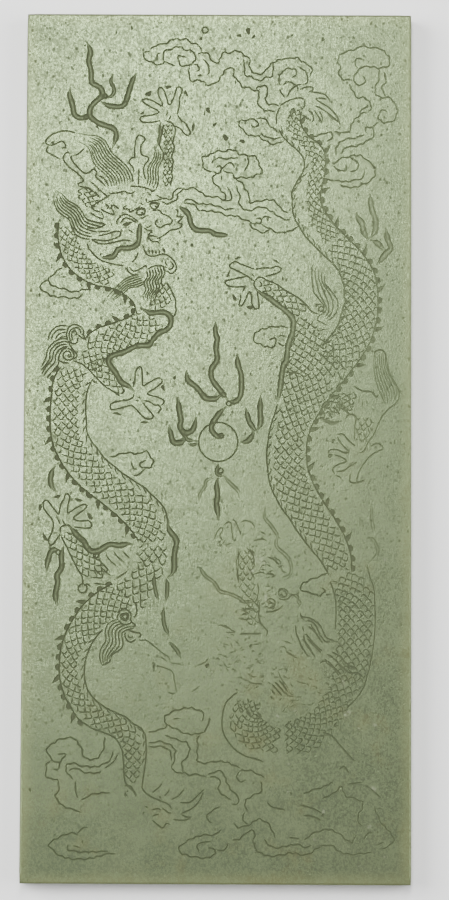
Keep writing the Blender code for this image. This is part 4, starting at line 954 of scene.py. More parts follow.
FALLING_HEAD = (
    (80.2, 92, 81, 93.2, 82.4, 93.2, 83.4, 92, 83.2, 90.8), (80.8, 91.6, 81.8, 92, 83, 91.2), (80, 89.2,
    82.2, 89, 84, 89.6, 85.4, 90.6), (84, 93.8, 85.6, 93, 87.2, 93.2, 88.6, 94.4, 90.2, 94.8, 91.2, 93.4,
    90.6, 92, 91.6, 91.2), (80, 101.2, 81.2, 101.8, 82.4, 101.4, 83.2, 100.4), (85.2, 102.4, 86.8, 102),
    (85.6, 100.4, 86.8, 100.8), (76.2, 101.4, 78, 101.8, 79.4, 101.8), (75, 101.8, 76, 100.8, 76.6, 99.4),
    (80.6, 107, 82.4, 106.4, 83.6, 105.4, 84.6, 104), (80.4, 104.6, 82, 103.8), (82.8, 107, 84.2, 106.2,
    85.4, 105), (77.4, 98.6, 77.8, 96, 77.4, 93, 77.8, 90, 78, 86, 79, 84.6, 80, 83.6, 80.8, 82.4, 80.2,
    80.8), (71, 109.8, 71.2, 106, 71, 102, 71.4, 98), (74.6, 110, 75.8, 108, 76.4, 105.6, 76, 103), (72, 82,
    75, 81.8, 78.6, 81.6), (66.4, 84.8, 67.6, 84, 69, 83, 70.6, 82.2), (73, 89.6, 75.4, 90, 77, 89.8), (72.6,
    88.6, 74.4, 87.6), (74, 87, 75.8, 86.4), (86.8, 76.2, 88.2, 75.4, 90, 74.4), (86, 70.6, 87, 69.8, 87,
    68.4), (74, 66.8, 75.6, 65.6, 78, 65.4, 79.6, 65.2), (74.4, 68.8, 76, 67.8, 77.4, 67.9), (66.6, 72.4,
    67.2, 71.2, 68.6, 70.6), (68.4, 75.4, 69.8, 76), (70, 72.2, 71.4, 73.4), (104.6, 73.6, 106, 71.8, 107.2,
    70.6), (82.2, 70.8, 83, 70, 83.6, 70.6), (90.2, 66.4, 92, 65.8, 94, 65.4), (96.4, 64.6, 97.4, 63.6),
    (74.6, 71.4, 76.4, 71.2), (77.4, 72.6, 79, 72),
)

# The falling dragon's locks of hair and fields of scales, as for the rising one
FALLING_LOCKS = (
    ((95.6, 204.2, 95, 203, 95.2, 198.3, 95.6, 195, 97.8, 192, 99.2, 190, 98.5, 188), (99.3, 200.8, 99.4,
    197.8, 101.5, 195, 103.6, 192, 103.4, 188.6, 101.6, 186.2, 100.2, 185.3), 5), ((115.8, 175.2, 115.6, 171,
    116, 167, 116.8, 163.6, 118.2, 160.4, 119.4, 157.6), (119.4, 174.8, 119.6, 170.6, 121, 167, 122.8, 163.6,
    123.2, 161, 122, 158.8), 7),
)
FALLING_SCALES = (
    ((95, 172, 101, 177, 103.6, 182, 105.4, 189, 105.6, 196, 103.6, 203.4, 100, 209.4), (107.4, 168, 112.6,
    176, 115.4, 183, 116.4, 192, 115.4, 200.6, 110.6, 208.4, 105.6, 213.8), 2.8, 1.55), ((99.4, 210.4, 96.4,
    215.4, 94.2, 220.6, 93.2, 227, 93.8, 233, 94.8, 238, 92.6, 242.4, 88, 247, 86.6, 252.4, 88.4, 257.4),
    (105, 214.4, 101.4, 218.6, 98, 225, 98.4, 230, 99.2, 237, 98, 242.4, 93, 247.4, 90.8, 251.4, 91.4,
    256.2), 1.9, 1.35), ((88.8, 187, 88.4, 180, 87, 174, 85.6, 167, 85, 162, 84.6, 158, 83, 150, 82, 140, 83,
    130, 86.6, 122.6, 91.6, 115.4, 96.8, 108.6, 101.8, 101), (96, 186.6, 99.6, 180, 104.6, 174, 107, 168,
    103.6, 163.4, 98.6, 156.6, 94.6, 149.6, 93, 141, 94.4, 133, 98.6, 125, 103.8, 117, 107.4, 109, 108, 103),
    2.8, 1.55), ((77, 199, 83, 197, 89, 193.6, 94.6, 189.4), (77, 196, 82.6, 192.4, 88, 188, 90, 184), 2.4,
    1.8), ((86, 53, 90, 53.8, 96, 57, 100, 63), (87, 42.8, 94, 43, 101.4, 48, 108, 59), 2.4, 1.45), ((98,
    156, 101.5, 160, 106, 161.6, 110.5, 160.6), (99, 150.8, 102, 153.6, 106, 155.2, 109.5, 154.6), 2.0, 1.4),
    ((100, 61, 102, 68, 103, 76, 103.8, 84, 103.9, 90, 103, 95, 101.6, 101), (107.6, 58.8, 112, 65, 114.4,
    72.4, 115.4, 80, 115.6, 88, 115, 96, 109.4, 103), 2.8, 1.55), ((70.4, 60.6, 67.8, 54, 69.2, 48.4, 75,
    43.8, 84, 42.4), (80, 60.8, 79, 57.6, 79.6, 54.6, 82, 52.4, 85.6, 51.4), 2.2, 1.35), ((115.6, 153.6,
    114.6, 149, 112.6, 143.6), (110.2, 153.6, 109.8, 149, 109.6, 144.4), 2.2, 1.7),
)
FALLING_WORN_SCALES = (
    (76.4, 110, 76.4, 100, 77.8, 92, 79.6, 84.6), (71.4, 109.6, 71, 100, 72.4, 92, 73.8, 84.6), 2.5, 1.8,
)

# Cloud scrolls of the upper half
CLOUDS_UPPER = (
    (41, 276, 42, 276.9, 43.2, 277.3, 44.3, 277.6, 45.5, 278, 47, 278.4, 48, 279.2, 49.2, 279.6, 50.5, 279.4,
    52, 279.5, 53.3, 279.2, 54.5, 278.4, 56, 278, 57.2, 277.3, 57.9, 276.2, 58, 275.4), (40.9, 275.4, 39.5,
    275.2, 38.7, 274.2, 38.7, 273.2, 39.7, 272.5, 40.8, 272.1, 42, 271.4, 43, 270.9, 44.5, 270.9, 46.2,
    272.1), (44.6, 274.8, 43.4, 274.5, 43.4, 272.4), (45.8, 271.8, 45.2, 273.2, 45.6, 274.9, 46.6, 275.9,
    48.4, 276.2, 50, 277, 51.5, 276.6, 52.8, 275.9, 54.5, 275.5, 55.8, 274.7, 56.1, 273.3, 55.6, 271.8, 54.5,
    271, 53, 270.4, 51.5, 270.7, 50.5, 271.8, 50.1, 273, 50.6, 274, 52.1, 273.6, 53.2, 273.5), (46, 272,
    48.5, 270.8, 49.5, 270.7), (56.9, 274.3, 58.2, 275.1, 60.2, 274.5, 61, 273.4, 61.8, 272.1, 62.8, 271.4,
    63.8, 271.8, 64.3, 273, 64.7, 274.4, 65.6, 275, 67, 274.8, 68.3, 275.4, 69.7, 275.6, 71, 275.3, 72,
    274.4, 73.2, 273.8, 74, 272.6, 74.1, 270.8, 74.5, 269.2, 75.6, 268.2, 77, 267.8, 78.5, 268.1, 79.4,
    268.8, 80.2, 270, 81, 271.1, 82, 271.7, 83.5, 272.5, 84.8, 272.9, 85.8, 273.2, 87.2, 273, 89.6, 273.5,
    90.8, 272.8, 91.5, 272, 92.5, 271.7, 93.6, 271.2, 94.5, 270.3, 94.9, 269.2, 94.5, 268, 94.2, 267.2),
    (71.9, 273, 72.4, 271.5, 72.3, 269.9, 72.4, 268.4, 73.2, 267.2, 74.5, 267, 75.6, 266.3, 77, 265.7, 78.3,
    265.9, 79.5, 266.6, 80.8, 266.8, 81.8, 267.6, 82, 269, 81.9, 271.5), (54, 270.4, 53.9, 269, 54.1, 268,
    53.8, 267, 54.1, 266.1, 55, 265.5, 56.5, 265.6, 57.8, 265.6, 59, 264.9, 60, 264.2, 61.3, 264.1, 62.6,
    264.6, 63.6, 265.5, 64.5, 266.8, 65.5, 268.4, 66.5, 269.7, 67.6, 270, 68.5, 269.5, 68.9, 268.3, 69, 267,
    69.6, 266.1, 70.6, 265.4, 71.2, 264, 72, 263.4, 73.6, 263.3, 75, 262.5, 76.5, 262.3, 77.4, 261.7, 77.2,
    260.3, 77, 258.8, 77.2, 257.3, 78, 256.3, 79.3, 255.7, 81, 255.5, 82.7, 255.3), (69.3, 265.8, 69.5,
    264.2), (55.5, 270.8, 56.6, 271, 57.4, 269.2, 56, 268.7), (58.5, 272.9, 60.1, 271.2, 60.7, 268.6, 60,
    267.5), (76.4, 262.5, 76.8, 263.7, 78.2, 263.6, 79.4, 263.8, 80.2, 263.1, 80.2, 262, 79.8, 260.8, 79.5,
    259.5, 79.6, 258.3, 80.6, 257.7, 82, 257.7, 84, 257.1), (84.4, 264.1, 83.8, 265.1, 83.7, 266, 84.2, 267,
    84.8, 268, 85.2, 269, 86.1, 269.6, 87.5, 269.7, 88.8, 269.7, 89.7, 268.9, 89.8, 267.9, 89, 267.1, 88,
    266.9), (90.1, 270.4, 92.3, 269.3, 92.9, 268, 93.6, 266.8, 93.7, 265.8, 93, 264.8, 92, 264.4), (85.3,
    264.1, 86.8, 265.3, 88, 265.1, 88.9, 264.4, 90, 264.2, 91.5, 264.5), (85.1, 263, 84.3, 262.2, 86, 259.9),
    (89.6, 263.9, 87.7, 262.3, 86.6, 260.1), (90.2, 263.9, 90.2, 262.3), (70.9, 252.3, 70.9, 250.2, 74,
    247.3, 77, 247, 79.3, 245.4, 82, 244.3, 85.4, 245.2), (70.9, 252.3, 73.7, 252.3, 76.1, 252.6, 77, 250.6,
    75.3, 249.9, 74.9, 251.2), (76.8, 252.8, 78.9, 253, 80.4, 251, 82.3, 249.4, 84, 248), (77.5, 248, 81,
    246.2, 85, 246.6), (62, 234.9, 61, 235, 59.8, 235.4, 59.1, 236.4, 58.8, 237.5, 58.3, 238.7, 58.6, 239.8,
    59.6, 240.1, 60.6, 240.3, 61.5, 241, 62.8, 241.6, 64, 241.8, 65.3, 241.7, 67.5, 242.3, 69, 242.2, 70,
    241.6, 71, 240.8, 72.3, 240.7, 73.5, 240.1, 74.4, 240.5, 75.5, 240.3, 76.5, 239.8, 77.1, 238.7, 77.4,
    237.4, 78.1, 236.4, 78.3, 235.4, 77.8, 234.4, 76.4, 233.9, 75, 233.1, 73.6, 232.9, 72, 233, 70.6, 232.8,
    69.4, 233, 68.6, 234.4), (73.5, 240.1, 73.9, 237.8, 72.5, 235.3), (61.7, 237.6, 62.7, 239.2, 66.6, 239.4,
    70.3, 239.6), (63, 236.2, 64.3, 237, 65.1, 235.4), (62, 234.9, 64.3, 234.5, 66.2, 237.4, 68.5, 237.7,
    69.2, 236.3), (65.4, 235.6, 66.3, 234.9, 68.7, 234.4), (65, 233.6, 64.8, 232.1), (43.3, 227, 46.3, 225.7,
    48.2, 225.8, 49.7, 228.8, 52, 229.5), (45, 224.9, 47.5, 224.1, 50, 225.7, 51.1, 228.2, 54.5, 229.4, 57.2,
    228.7, 60.2, 226.6, 63, 226.6, 65.4, 225.5, 66.6, 226.6, 65.2, 228.2, 62.8, 231, 61.8, 233, 63.5, 234.2),
    (66.8, 229.8, 68, 227.9, 68.2, 225.6, 66, 225.2), (68.7, 233.2, 71.8, 231, 72.9, 229.2, 74.2, 226.8,
    74.2, 224.7, 76.5, 224.9, 79.2, 225.5, 82.7, 225.2, 84.8, 222.4, 87.4, 221.2), (69.8, 230.4, 71, 226.6,
    71, 224, 72.7, 222.2, 75.6, 222.3, 78.2, 223.3, 82, 221.4, 85.5, 219.1, 88, 219.2), (52.6, 224.5, 53.6,
    225.8, 57.3, 224.3, 62, 223.9, 65.8, 222.5, 69.2, 222.6), (52.5, 224.3, 55.2, 224.1, 58.2, 221.9, 62.6,
    221.7, 66.5, 220.4, 70.5, 219.9, 73.3, 218.5, 77.3, 217.6, 78.5, 219.2, 76.4, 219.3), (78.5, 219.3, 79.5,
    220, 81.4, 219.6), (74.2, 217.8, 75.5, 216, 78.6, 214.6, 81, 215.7), (78.2, 217.4, 81.2, 215.8, 83.5,
    214.7, 87.5, 215.1, 90.4, 216.7), (112, 277.6, 110.5, 277, 109, 276.3, 107.5, 276, 106.5, 275.4, 105,
    275, 104, 274.2, 103.5, 273.2, 103.6, 272, 104, 271, 104.2, 270, 103.9, 268.8, 104, 267.6, 104.6, 266.5,
    105.6, 266, 107, 266, 108.3, 266), (112, 277.6, 113, 277.2, 114.5, 276.8, 116, 276.8, 117.5, 276.7,
    118.6, 276, 119.3, 275, 120.2, 274.2, 120.8, 273.1, 120.7, 272, 120.2, 270.8, 119, 270.3, 117.8, 270,
    116.5, 270.1, 115, 270.5, 113.5, 270.5, 112, 270.4, 110.8, 270.1, 110.2, 269.3, 110.2, 268.5), (111.9,
    273, 109.6, 273.1, 109.2, 271, 110, 270.3), (110.2, 269.2, 108.6, 266, 111.2, 264.2, 112.8, 266, 111.8,
    267.2), (107.3, 264.6, 108.4, 262.4, 109.7, 260.2, 112.6, 259.9, 114.8, 257, 113.3, 255.2), (113.2,
    257.8, 113.4, 257, 111.4, 256, 110.7, 254.6), (102.3, 248.5, 106.8, 248.3, 107.9, 250.6, 109, 252.6,
    111.8, 254.8, 113, 255), (94, 247.2, 96.7, 247.1, 100.5, 248.4, 102, 246.9, 100, 245.3), (117.1, 269.8,
    117.3, 268.4, 117, 266.9, 116.8, 265.4, 116.1, 263.8, 116, 262.3, 116.3, 261, 117.5, 260.3, 119, 260,
    120.5, 260, 121.7, 259.3, 122.5, 258, 123.2, 256.4, 123.3, 254.8, 122.8, 253.4, 121.6, 252.2, 120.3,
    251.7, 119, 251.6, 117.8, 252.2, 117, 253.2, 117, 254.4, 117.8, 255.5, 118.8, 255.9, 120, 255.3), (118.7,
    268.8, 119.5, 266, 118.3, 263.4, 119.5, 260.1), (117.2, 252.2, 114.9, 250.1, 112.7, 250, 113.1, 248),
    (115, 250, 115.6, 247.6, 113, 245.3, 109, 243.6, 106, 243.4, 104.9, 241), (112.4, 247.6, 109.8, 246.7,
    105, 245.6, 103.2, 243.4, 102.8, 240.2), (102, 237.4, 104, 239.2, 107.5, 240.3, 111.2, 240.6, 113, 239,
    115.3, 237.4, 115.9, 234, 113.4, 231.6, 109.2, 230, 105.5, 230.1, 104.3, 230.9), (102, 237.2, 103.6,
    235.7, 106.3, 235.6, 106.2, 237.6), (107.4, 239.9, 109.8, 238.6, 110.2, 236, 107.6, 235.2), (112.2,
    235.7, 112, 233.4, 108, 232, 103.6, 232, 99.5, 232.6),
)

# Cloud scrolls of the lower half
CLOUDS_LOWER = (
    (12.5, 202.7, 10.2, 201.2, 7.8, 198.4, 9.2, 196.6, 12, 195.7, 16.3, 194.6, 19.3, 195.3, 21.8, 195.4),
    (7.6, 198.7, 4.8, 196.3, 6.6, 194.7, 9, 193.1, 13.3, 192.7, 17.6, 192.5, 19.2, 194.1), (11.8, 199.5,
    13.6, 199.6), (28.3, 139.7, 30.8, 140.3, 34.4, 141.3, 37.5, 140.8, 40.5, 141.6, 43, 138.2, 41.3, 136.1,
    39, 136.7, 38.6, 137.8, 40.6, 138.7), (40.2, 136, 38, 133.9, 36.3, 133.8), (35.6, 138.4, 36.4, 136.1,
    37.5, 135.7), (87, 183, 84, 183.4, 81.2, 183, 77.2, 181.7, 75.5, 179, 77.2, 177.8, 80.8, 176.4, 83.2,
    177.1, 82.9, 179.4, 80.8, 178.8), (83.6, 179.6, 84.6, 180.3, 86.4, 180), (83.8, 178, 85.3, 177, 86.2,
    177), (100.5, 101.8, 97.4, 100.6, 93.8, 99.1, 91.6, 97.6, 92.5, 95.7, 95.2, 95.3, 97.6, 94.3, 99.6, 95.8,
    98.3, 97.2), (99.9, 94.7, 101.4, 94.9), (27.7, 47.8, 27.2, 44, 25.7, 41.2, 23.2, 40.4, 21, 41.3, 20, 44,
    17.5, 47.3, 13.6, 47.2, 10.5, 45.5, 8.8, 44, 9.8, 41, 12.6, 39.4, 14.8, 42, 12.3, 42.2), (10.2, 40, 8.6,
    38.5, 8.8, 34.7, 12.2, 33.6, 12.8, 31.2, 11.8, 28.2, 13.7, 25.6, 17, 24.2, 20, 23.3), (13, 39.6, 12.6,
    37.2, 10.9, 37.3), (32, 42.2, 30.3, 39.5, 27.8, 37.7), (30.4, 43, 29.6, 40.5, 25.6, 38.2, 20.6, 38.3,
    16.6, 39.2, 14.9, 37.4, 17.2, 34), (18.2, 33.2, 18.3, 30, 19, 28), (16.1, 36.7, 17.8, 37.6, 21.5, 36.2,
    25.6, 36.1, 26.5, 36.8), (20.2, 27.3, 24.6, 29.3, 29.6, 29.6), (19.2, 15.8, 16.8, 16.6, 13.4, 15.2, 9.8,
    13, 11.5, 10.4, 15, 8.5, 20, 8, 23.8, 8.4, 28.2, 9.6, 31.4, 9.9), (19, 16.4, 20.8, 18.2, 22.3, 18.3),
    (15.9, 12.7, 16, 11, 20, 10.4, 25, 10.5, 29, 10.5), (17.5, 12.4, 19.8, 11.9), (20.5, 14.3, 20.9, 13),
    (42, 49.5, 46, 50.3, 48, 52, 47.2, 53, 47.8, 55, 52.3, 57, 56.6, 57.3, 60, 55.4, 59.4, 53), (48, 52, 51,
    50.4, 55.5, 48.8, 60.2, 49.5), (50, 53.8, 52.2, 54), (47.4, 48.5, 51.2, 47, 54.6, 46, 55.4, 42.8, 53,
    39.2, 54.2, 35.9, 58.4, 35.6, 61, 35), (58.9, 48.5, 58, 47.4, 58.1, 43.4, 58.1, 40.2, 60.2, 39.4, 64.2,
    40, 67.8, 39.6, 71.8, 38), (42, 45.9, 47, 46.2, 50.6, 43.8, 50.2, 39.8, 50, 37, 53.5, 36), (42, 44.6,
    47.2, 44.6, 49.2, 42.8, 49.5, 40.2), (61.5, 35.8, 66, 36.7, 67.6, 33.3, 69.6, 30.1, 71.7, 28.2, 70.8, 26,
    69.4, 26.3), (62.2, 34.9, 64.3, 34.9, 65.5, 32.8, 65.1, 30.2, 69.2, 27.5), (71.9, 37.2, 76, 36.8, 80,
    34.8), (71.9, 36.9, 70.9, 35, 72.2, 33.4, 73.8, 34), (78.9, 33.5, 79, 30.5, 76, 28.8, 73.6, 26.8, 74.6,
    23.6), (73.4, 23.5, 73, 21, 74.6, 19.6), (65.5, 25.4, 61.6, 22.9, 61.9, 20.5, 63, 20.2), (65.8, 17.8, 64,
    16.3, 59, 15.8, 53.8, 13.5, 52.2, 10.8, 55, 9.4, 60, 8.6, 63.6, 9.5, 63.5, 11.6, 61.6, 11.9), (62.5,
    14.1, 58.2, 13, 58.9, 10.4), (64.2, 11.2, 67, 11.2, 68.3, 13.5), (69.9, 20, 71.8, 18.5, 75.3, 19.6, 78.2,
    21.3, 81.4, 19.6, 83.2, 16.2, 83.6, 15), (69.6, 14.5, 72.3, 14.9, 74.2, 17, 76.8, 17.2, 76.6, 12.5, 80.2,
    9.6, 85, 9.5, 89, 10.4, 93.8, 9.7, 97.4, 12, 101.4, 13, 105, 10.6, 109.2, 10, 115, 10.7), (80, 14.8,
    82.4, 12.2, 86.6, 12.4, 90.4, 13.2, 93, 12.2, 95.4, 12.8), (81, 27, 82.4, 25.3, 87, 24.4), (93, 14.6, 97,
    17.2, 101.4, 18, 105, 16.2, 108.4, 13.8, 109.9, 16.4), (88, 15.4, 91.4, 15), (92.6, 29.6, 97, 31.2, 99.6,
    32, 102.4, 33.6), (99, 28.2, 102.8, 29.8, 105, 32, 106.6, 29, 111.6, 27.4, 112, 25.2, 110.3, 21.4, 112.4,
    18.8), (107.3, 32.8, 111.8, 33.4), (112.8, 32.4, 115.2, 30.9, 118, 28.4), (91.6, 26, 95.4, 25, 98.8,
    23.4), (115.8, 25.6, 117.4, 21.4, 119.4, 19, 122.2, 15.4, 120.8, 12.8, 118, 11.8), (116.8, 25, 118.2,
    25), (112.4, 14.8, 114, 17, 115.4, 17), (116.6, 13, 119, 14),
)
DARK_TOUCHES = (
    (60.2, 49.5, 61.6, 52.2, 61.9, 54.2), (104.4, 37.6, 106, 38.4, 107.6, 36.4), (92.8, 22.6, 96, 22.2, 98.4,
    21),
)


# Small rings, each with its place and radius
CREST_RINGS = ((19.9, 253.2, 0.8), (26.0, 260.2, 0.8))
RISING_RINGS = ((11.8, 108.2, 0.8), (24.3, 107.3, 0.9), (20.0, 96.4, 1.5), (34.0, 87.2, 0.8))
PEARL_RINGS = ((67.7, 157.6, 0.8), (65.9, 160.6, 0.8), (65.3, 147.0, 0.8), (52.6, 148.3, 0.8),
               (65.2, 135.4, 0.8))
FALLING_EYE_RINGS = ((85.8, 95.2, 1.5), (82.5, 90.4, 0.5))
FALLING_ELBOW_RING = (98.1, 189.2, 0.9)
TOP_RING = (59.2, 282.6, 1.1)

# Small marks of the rising dragon: the arm's shaded edge, its pupils and the hollow in its cheek
RISING_ARM_SHADE = (44.7, 251.5, 44.4, 250, 44.5, 247.5, 43.7, 243.6)
RISING_PUPILS = ((38.5, 220.9), (43.1, 222.9))
RISING_CHEEK_HOLLOW = ((32.2, 217, 33.2, 217.9, 35.4, 218.1, 34.8, 217.2, 33.5, 216.6),)

# Pits and pale patches: place and size
LARGE_PITS = (
    (60.4, 255.6, 0.9), (62.6, 250.8, 0.7), (66.2, 246.4, 1.0), (71.8, 245.2, 0.8), (73.6, 282.4, 1.0),
    (70.6, 280.8, 0.7), (75.4, 280.4, 0.6), (9.8, 210.4, 0.6), (57.5, 267.3, 0.6), (33.0, 258.4, 0.5), (98.6,
    279.6, 0.7), (88.2, 281.0, 0.5),
)
PALE_PATCHES = (
    (78, 106, 2.1), (85, 125, 0.8), (75.5, 102.3, 1.2), (105.6, 65.8, 1.2), (116, 52, 1.1), (114.5, 19, 1.0),
    (115.5, 31.5, 1.4), (99.3, 24, 0.8), (84.8, 79, 0.7), (59.7, 85.2, 0.6), (56, 115.2, 0.6), (35.6, 35.3,
    0.6), (80.2, 93.4, 1.2), (106.8, 55.6, 1.5), (84.2, 55, 0.8), (52.6, 118.4, 0.6), (110.6, 88.2, 0.5),
    (91.4, 132.4, 0.6), (62.2, 49.8, 0.6), (101.2, 108.6, 0.6),
)


@dataclass
class Drawing:
    """The whole picture on the tablet's face."""

    graver: Graver = field(default_factory=Graver)

    def rising_head(self) -> None:
        """The rising dragon's crest, horns, mane, face and raised paw."""
        g = self.graver
        g.lines(RISING_CREST, Nib.FLAME)
        g.lines(RISING_CREST_SMALL, Nib.TONGUE)
        for spot in CREST_RINGS:
            g.ring(*spot, Nib.BOLD)
        for family in (RISING_MANE_TOP, RISING_HORNS, RISING_ARM, RISING_TOP_PAW,
                       RISING_LOCK_ENDS, RISING_BROW, RISING_MUZZLE):
            g.lines(family)
        g.line(RISING_ARM_SHADE, Nib.TONGUE)
        g.lines(RISING_EYES)
        for x, y in RISING_PUPILS:
            g.line((x - 1.6, y + 1.0, x - 0.3, y + 1.5, x + 1.4, y + 1.1), Nib.BOLD)
            g.line((x - 0.2, y + 0.5, x + 0.6, y - 0.2), Nib.BOLD)
        g.hollows(RISING_TOP_CLAWS)
        g.lines(RISING_TEETH, Nib.BOLD)
        g.hollows(RISING_CHEEK_HOLLOW)
        g.lines(RISING_WHISKERS, Nib.WHISKER)
        for first, last, count in RISING_MANE_LOCKS:
            g.locks(first, last, count)
        for first, last, count in RISING_CHEEK_LOCKS:
            g.locks(first, last, count, Nib.OUTLINE)
        g.scales(*RISING_ARM_SCALES)

    def rising_body(self) -> None:
        """The rising dragon's back, belly, limbs and tail."""
        g = self.graver
        for back in (RISING_NECK_BACK, RISING_BODY_BACK, RISING_TAIL_BACK):
            g.line(back)
        g.fins(RISING_NECK_BACK)
        g.fins(RISING_BODY_BACK)
        g.fins(RISING_TAIL_BACK[:34])
        for belly in (RISING_NECK_BELLY, RISING_BODY_BELLY, RISING_TAIL_BELLY):
            g.line(belly)
        for family in (RISING_FORE_ARM, RISING_FORE_PAW, RISING_HIND_PAW, RISING_TAIL_MARKS,
                       RISING_TAIL_FAN, RISING_SHOULDER_SCROLLS, RISING_THIGH_SCROLLS):
            g.lines(family)
        g.lines(RISING_THIGH_HAIR, Nib.HAIR)
        g.lines(RISING_FAR_LEG, Nib.FAINT)
        for claws in (RISING_FORE_CLAWS, RISING_HIND_CLAWS, RISING_FAR_CLAWS):
            g.hollows(claws)
        g.lines(RISING_FRINGES, Nib.FRINGE)
        g.lines(RISING_FRINGE_WORN, Nib.TONGUE)
        g.lines(RISING_FLAMES, Nib.FLAME)
        for spot in RISING_RINGS:
            g.ring(*spot)
        g.locks(*RISING_KNEE_LOCK)
        self.rising_scales()

    def rising_scales(self) -> None:
        """The rising dragon's scales and belly plates."""
        g = self.graver
        for left, right, wide, pitch in RISING_SCALES:
            g.scales(left, right, wide, pitch)
        g.plates(RISING_BODY_BELLY, 2.9, 1.2, 2.3)
        g.plates(RISING_TAIL_BELLY[:34], 2.9, 1.1, 2.1)

    def pearl(self) -> None:
        """The pearl between the dragons, with the flames round it."""
        g = self.graver
        g.ring(*PEARL)
        g.lines(PEARL_FLAMES, Nib.FLAME)
        for path in PEARL_FLAMES_THIN:
            g.line(path, Nib.WORN if path[1] < 137 else Nib.TONGUE)
        for spot in PEARL_RINGS:
            g.ring(*spot)

    def falling_dragon(self) -> None:
        """The falling dragon, from the fan of its tail to its worn head."""
        g = self.graver
        for edge in (FALLING_BELLY_TOP, FALLING_BACK, FALLING_BELLY_LOW, FALLING_BELLY_END,
                     FALLING_OUTER):
            g.line(edge)
        g.fins(knots_of(FALLING_BACK)[::-1])
        for family in (FALLING_TAIL_END, FALLING_FAN, FALLING_FORE_ARM, FALLING_FORE_PAW,
                       FALLING_HIND_LEG, FALLING_HIND_PAW):
            g.lines(family)
        g.lines(FALLING_ELBOW, Nib.HAIR)
        g.lines(FALLING_NECK)
        g.lines(FALLING_FACE, Nib.FAINT)
        g.lines(FALLING_HEAD, Nib.FAINT)
        for spot in FALLING_EYE_RINGS:
            g.ring(*spot, Nib.FAINT)
        for claws in (FALLING_FORE_CLAWS, FALLING_HIND_CLAWS):
            g.hollows(claws)
        g.lines(FALLING_FRINGES, Nib.FRINGE)
        g.lines(FALLING_BANDS, Nib.WORN)
        g.lines(FALLING_FLAMES, Nib.FLAME)
        g.lines(FALLING_FLAMES_THIN, Nib.WORN)
        g.ring(*FALLING_ELBOW_RING)
        for first, last, count in FALLING_LOCKS:
            g.locks(first, last, count)
        g.lines(FALLING_LEG_MARKS, Nib.HAIR)
        g.lines(FALLING_DASHES, Nib.BOLD)
        g.lines(FALLING_MANE)
        self.worn_marks()
        self.falling_scales()

    def worn_marks(self) -> None:
        """Short marks where the falling dragon's head and coil are worn past reading.

        Formula: in each area a mark stands at a chance place of the ellipse, at the square
        root of a chance share of its half sizes, and leans up to 40 degrees from the area's
        own direction. It is 1.0 to 2.2 long and its middle bends aside by up to 0.35.
        """
        chance = np.random.default_rng(MARK_SEED)
        for x, y, wide, high, lean, count in WORN_AREAS:
            for _ in range(count):
                turn, share = chance.uniform(0, 2 * math.pi), math.sqrt(chance.random())
                middle = np.array([x + wide * share * math.cos(turn),
                                   y + high * share * math.sin(turn)])
                angle = math.radians(lean + chance.uniform(-40, 40))
                step = np.array([math.cos(angle), math.sin(angle)]) * chance.uniform(0.5, 1.1)
                bend = np.array([-step[1], step[0]]) * chance.uniform(-0.35, 0.35)
                self.graver.line(np.vstack([middle - step, middle + bend, middle + step]),
                                 Nib.FAINT)

    def falling_scales(self) -> None:
        """The falling dragon's scales, belly plates and the scales of its limbs."""
        g = self.graver
        for left, right, wide, pitch in FALLING_SCALES:
            g.scales(left, right, wide, pitch)
        g.scales(*FALLING_WORN_SCALES, Nib.FAINT)
        for belly in (FALLING_BELLY_TOP, FALLING_BELLY_LOW):
            g.plates(knots_of(belly)[::-1], 2.9, 1.2, 2.2)

    def wear(self) -> None:
        """Pits and pale patches of the old stone.

        Formula: pits are small hollows with uneven outlines. Most lie in the upper left: a pit
        is kept where a chance value is at most 0.15 plus 0.85 times its height over 90 as a
        share of 198, times 1.25 less its place across as a share of the width.
        """
        chance = np.random.default_rng(PIT_SEED)
        for _ in range(PIT_TRIES):
            x, y = chance.uniform(2.5, 125.5), chance.uniform(3.0, 285.5)
            likely = 0.15 + 0.85 * max((y - 90) / 198, 0.0) * (1.25 - x / 128)
            size = 0.15 + 0.4 * chance.random() ** 5
            turn = np.linspace(0.0, 2 * math.pi, 6)[:-1] + chance.uniform(0, 1)
            reach = size * (1 + 0.35 * np.sin(2 * turn + chance.uniform(0, 6)))
            if chance.random() > likely:
                continue
            outline = np.column_stack([x + reach * np.cos(turn), y + reach * 1.6 * np.sin(turn)])
            self.graver.cuts.append(Hollow(np.vstack([outline, outline[:1]]), 0.16 + 0.2 * size,
                                           0.5 * size))
        for x, y, size in LARGE_PITS:
            turn = np.linspace(0.0, 2 * math.pi, 12)[:-1]
            reach = size * (1 + 0.25 * np.sin(2 * turn + x) + 0.15 * np.sin(3 * turn + y))
            outline = np.column_stack([x + reach * np.cos(turn), y + reach * np.sin(turn)])
            self.graver.cuts.append(Hollow(np.vstack([outline, outline[:1]]), 0.3, 0.3))
        self.graver.ring(*TOP_RING)
        for x, y, size in PALE_PATCHES:
            self.graver.patches.append(Patch(x, y, size, x))

    def clouds(self) -> None:
        """All cloud scrolls, with their small lobes as waves."""
        for path in CLOUDS_UPPER + CLOUDS_LOWER:
            self.graver.line(waved(path, 0.26, 3.1))
        self.graver.lines(DARK_TOUCHES, Nib.BOLD)

    def cut(self) -> Graver:
        """Draw everything.

        Returns:
            The graver, with every cut and patch.
        """
        self.rising_head()
        self.rising_body()
        self.pearl()
        self.falling_dragon()
        self.clouds()
        self.wear()
        return self.graver


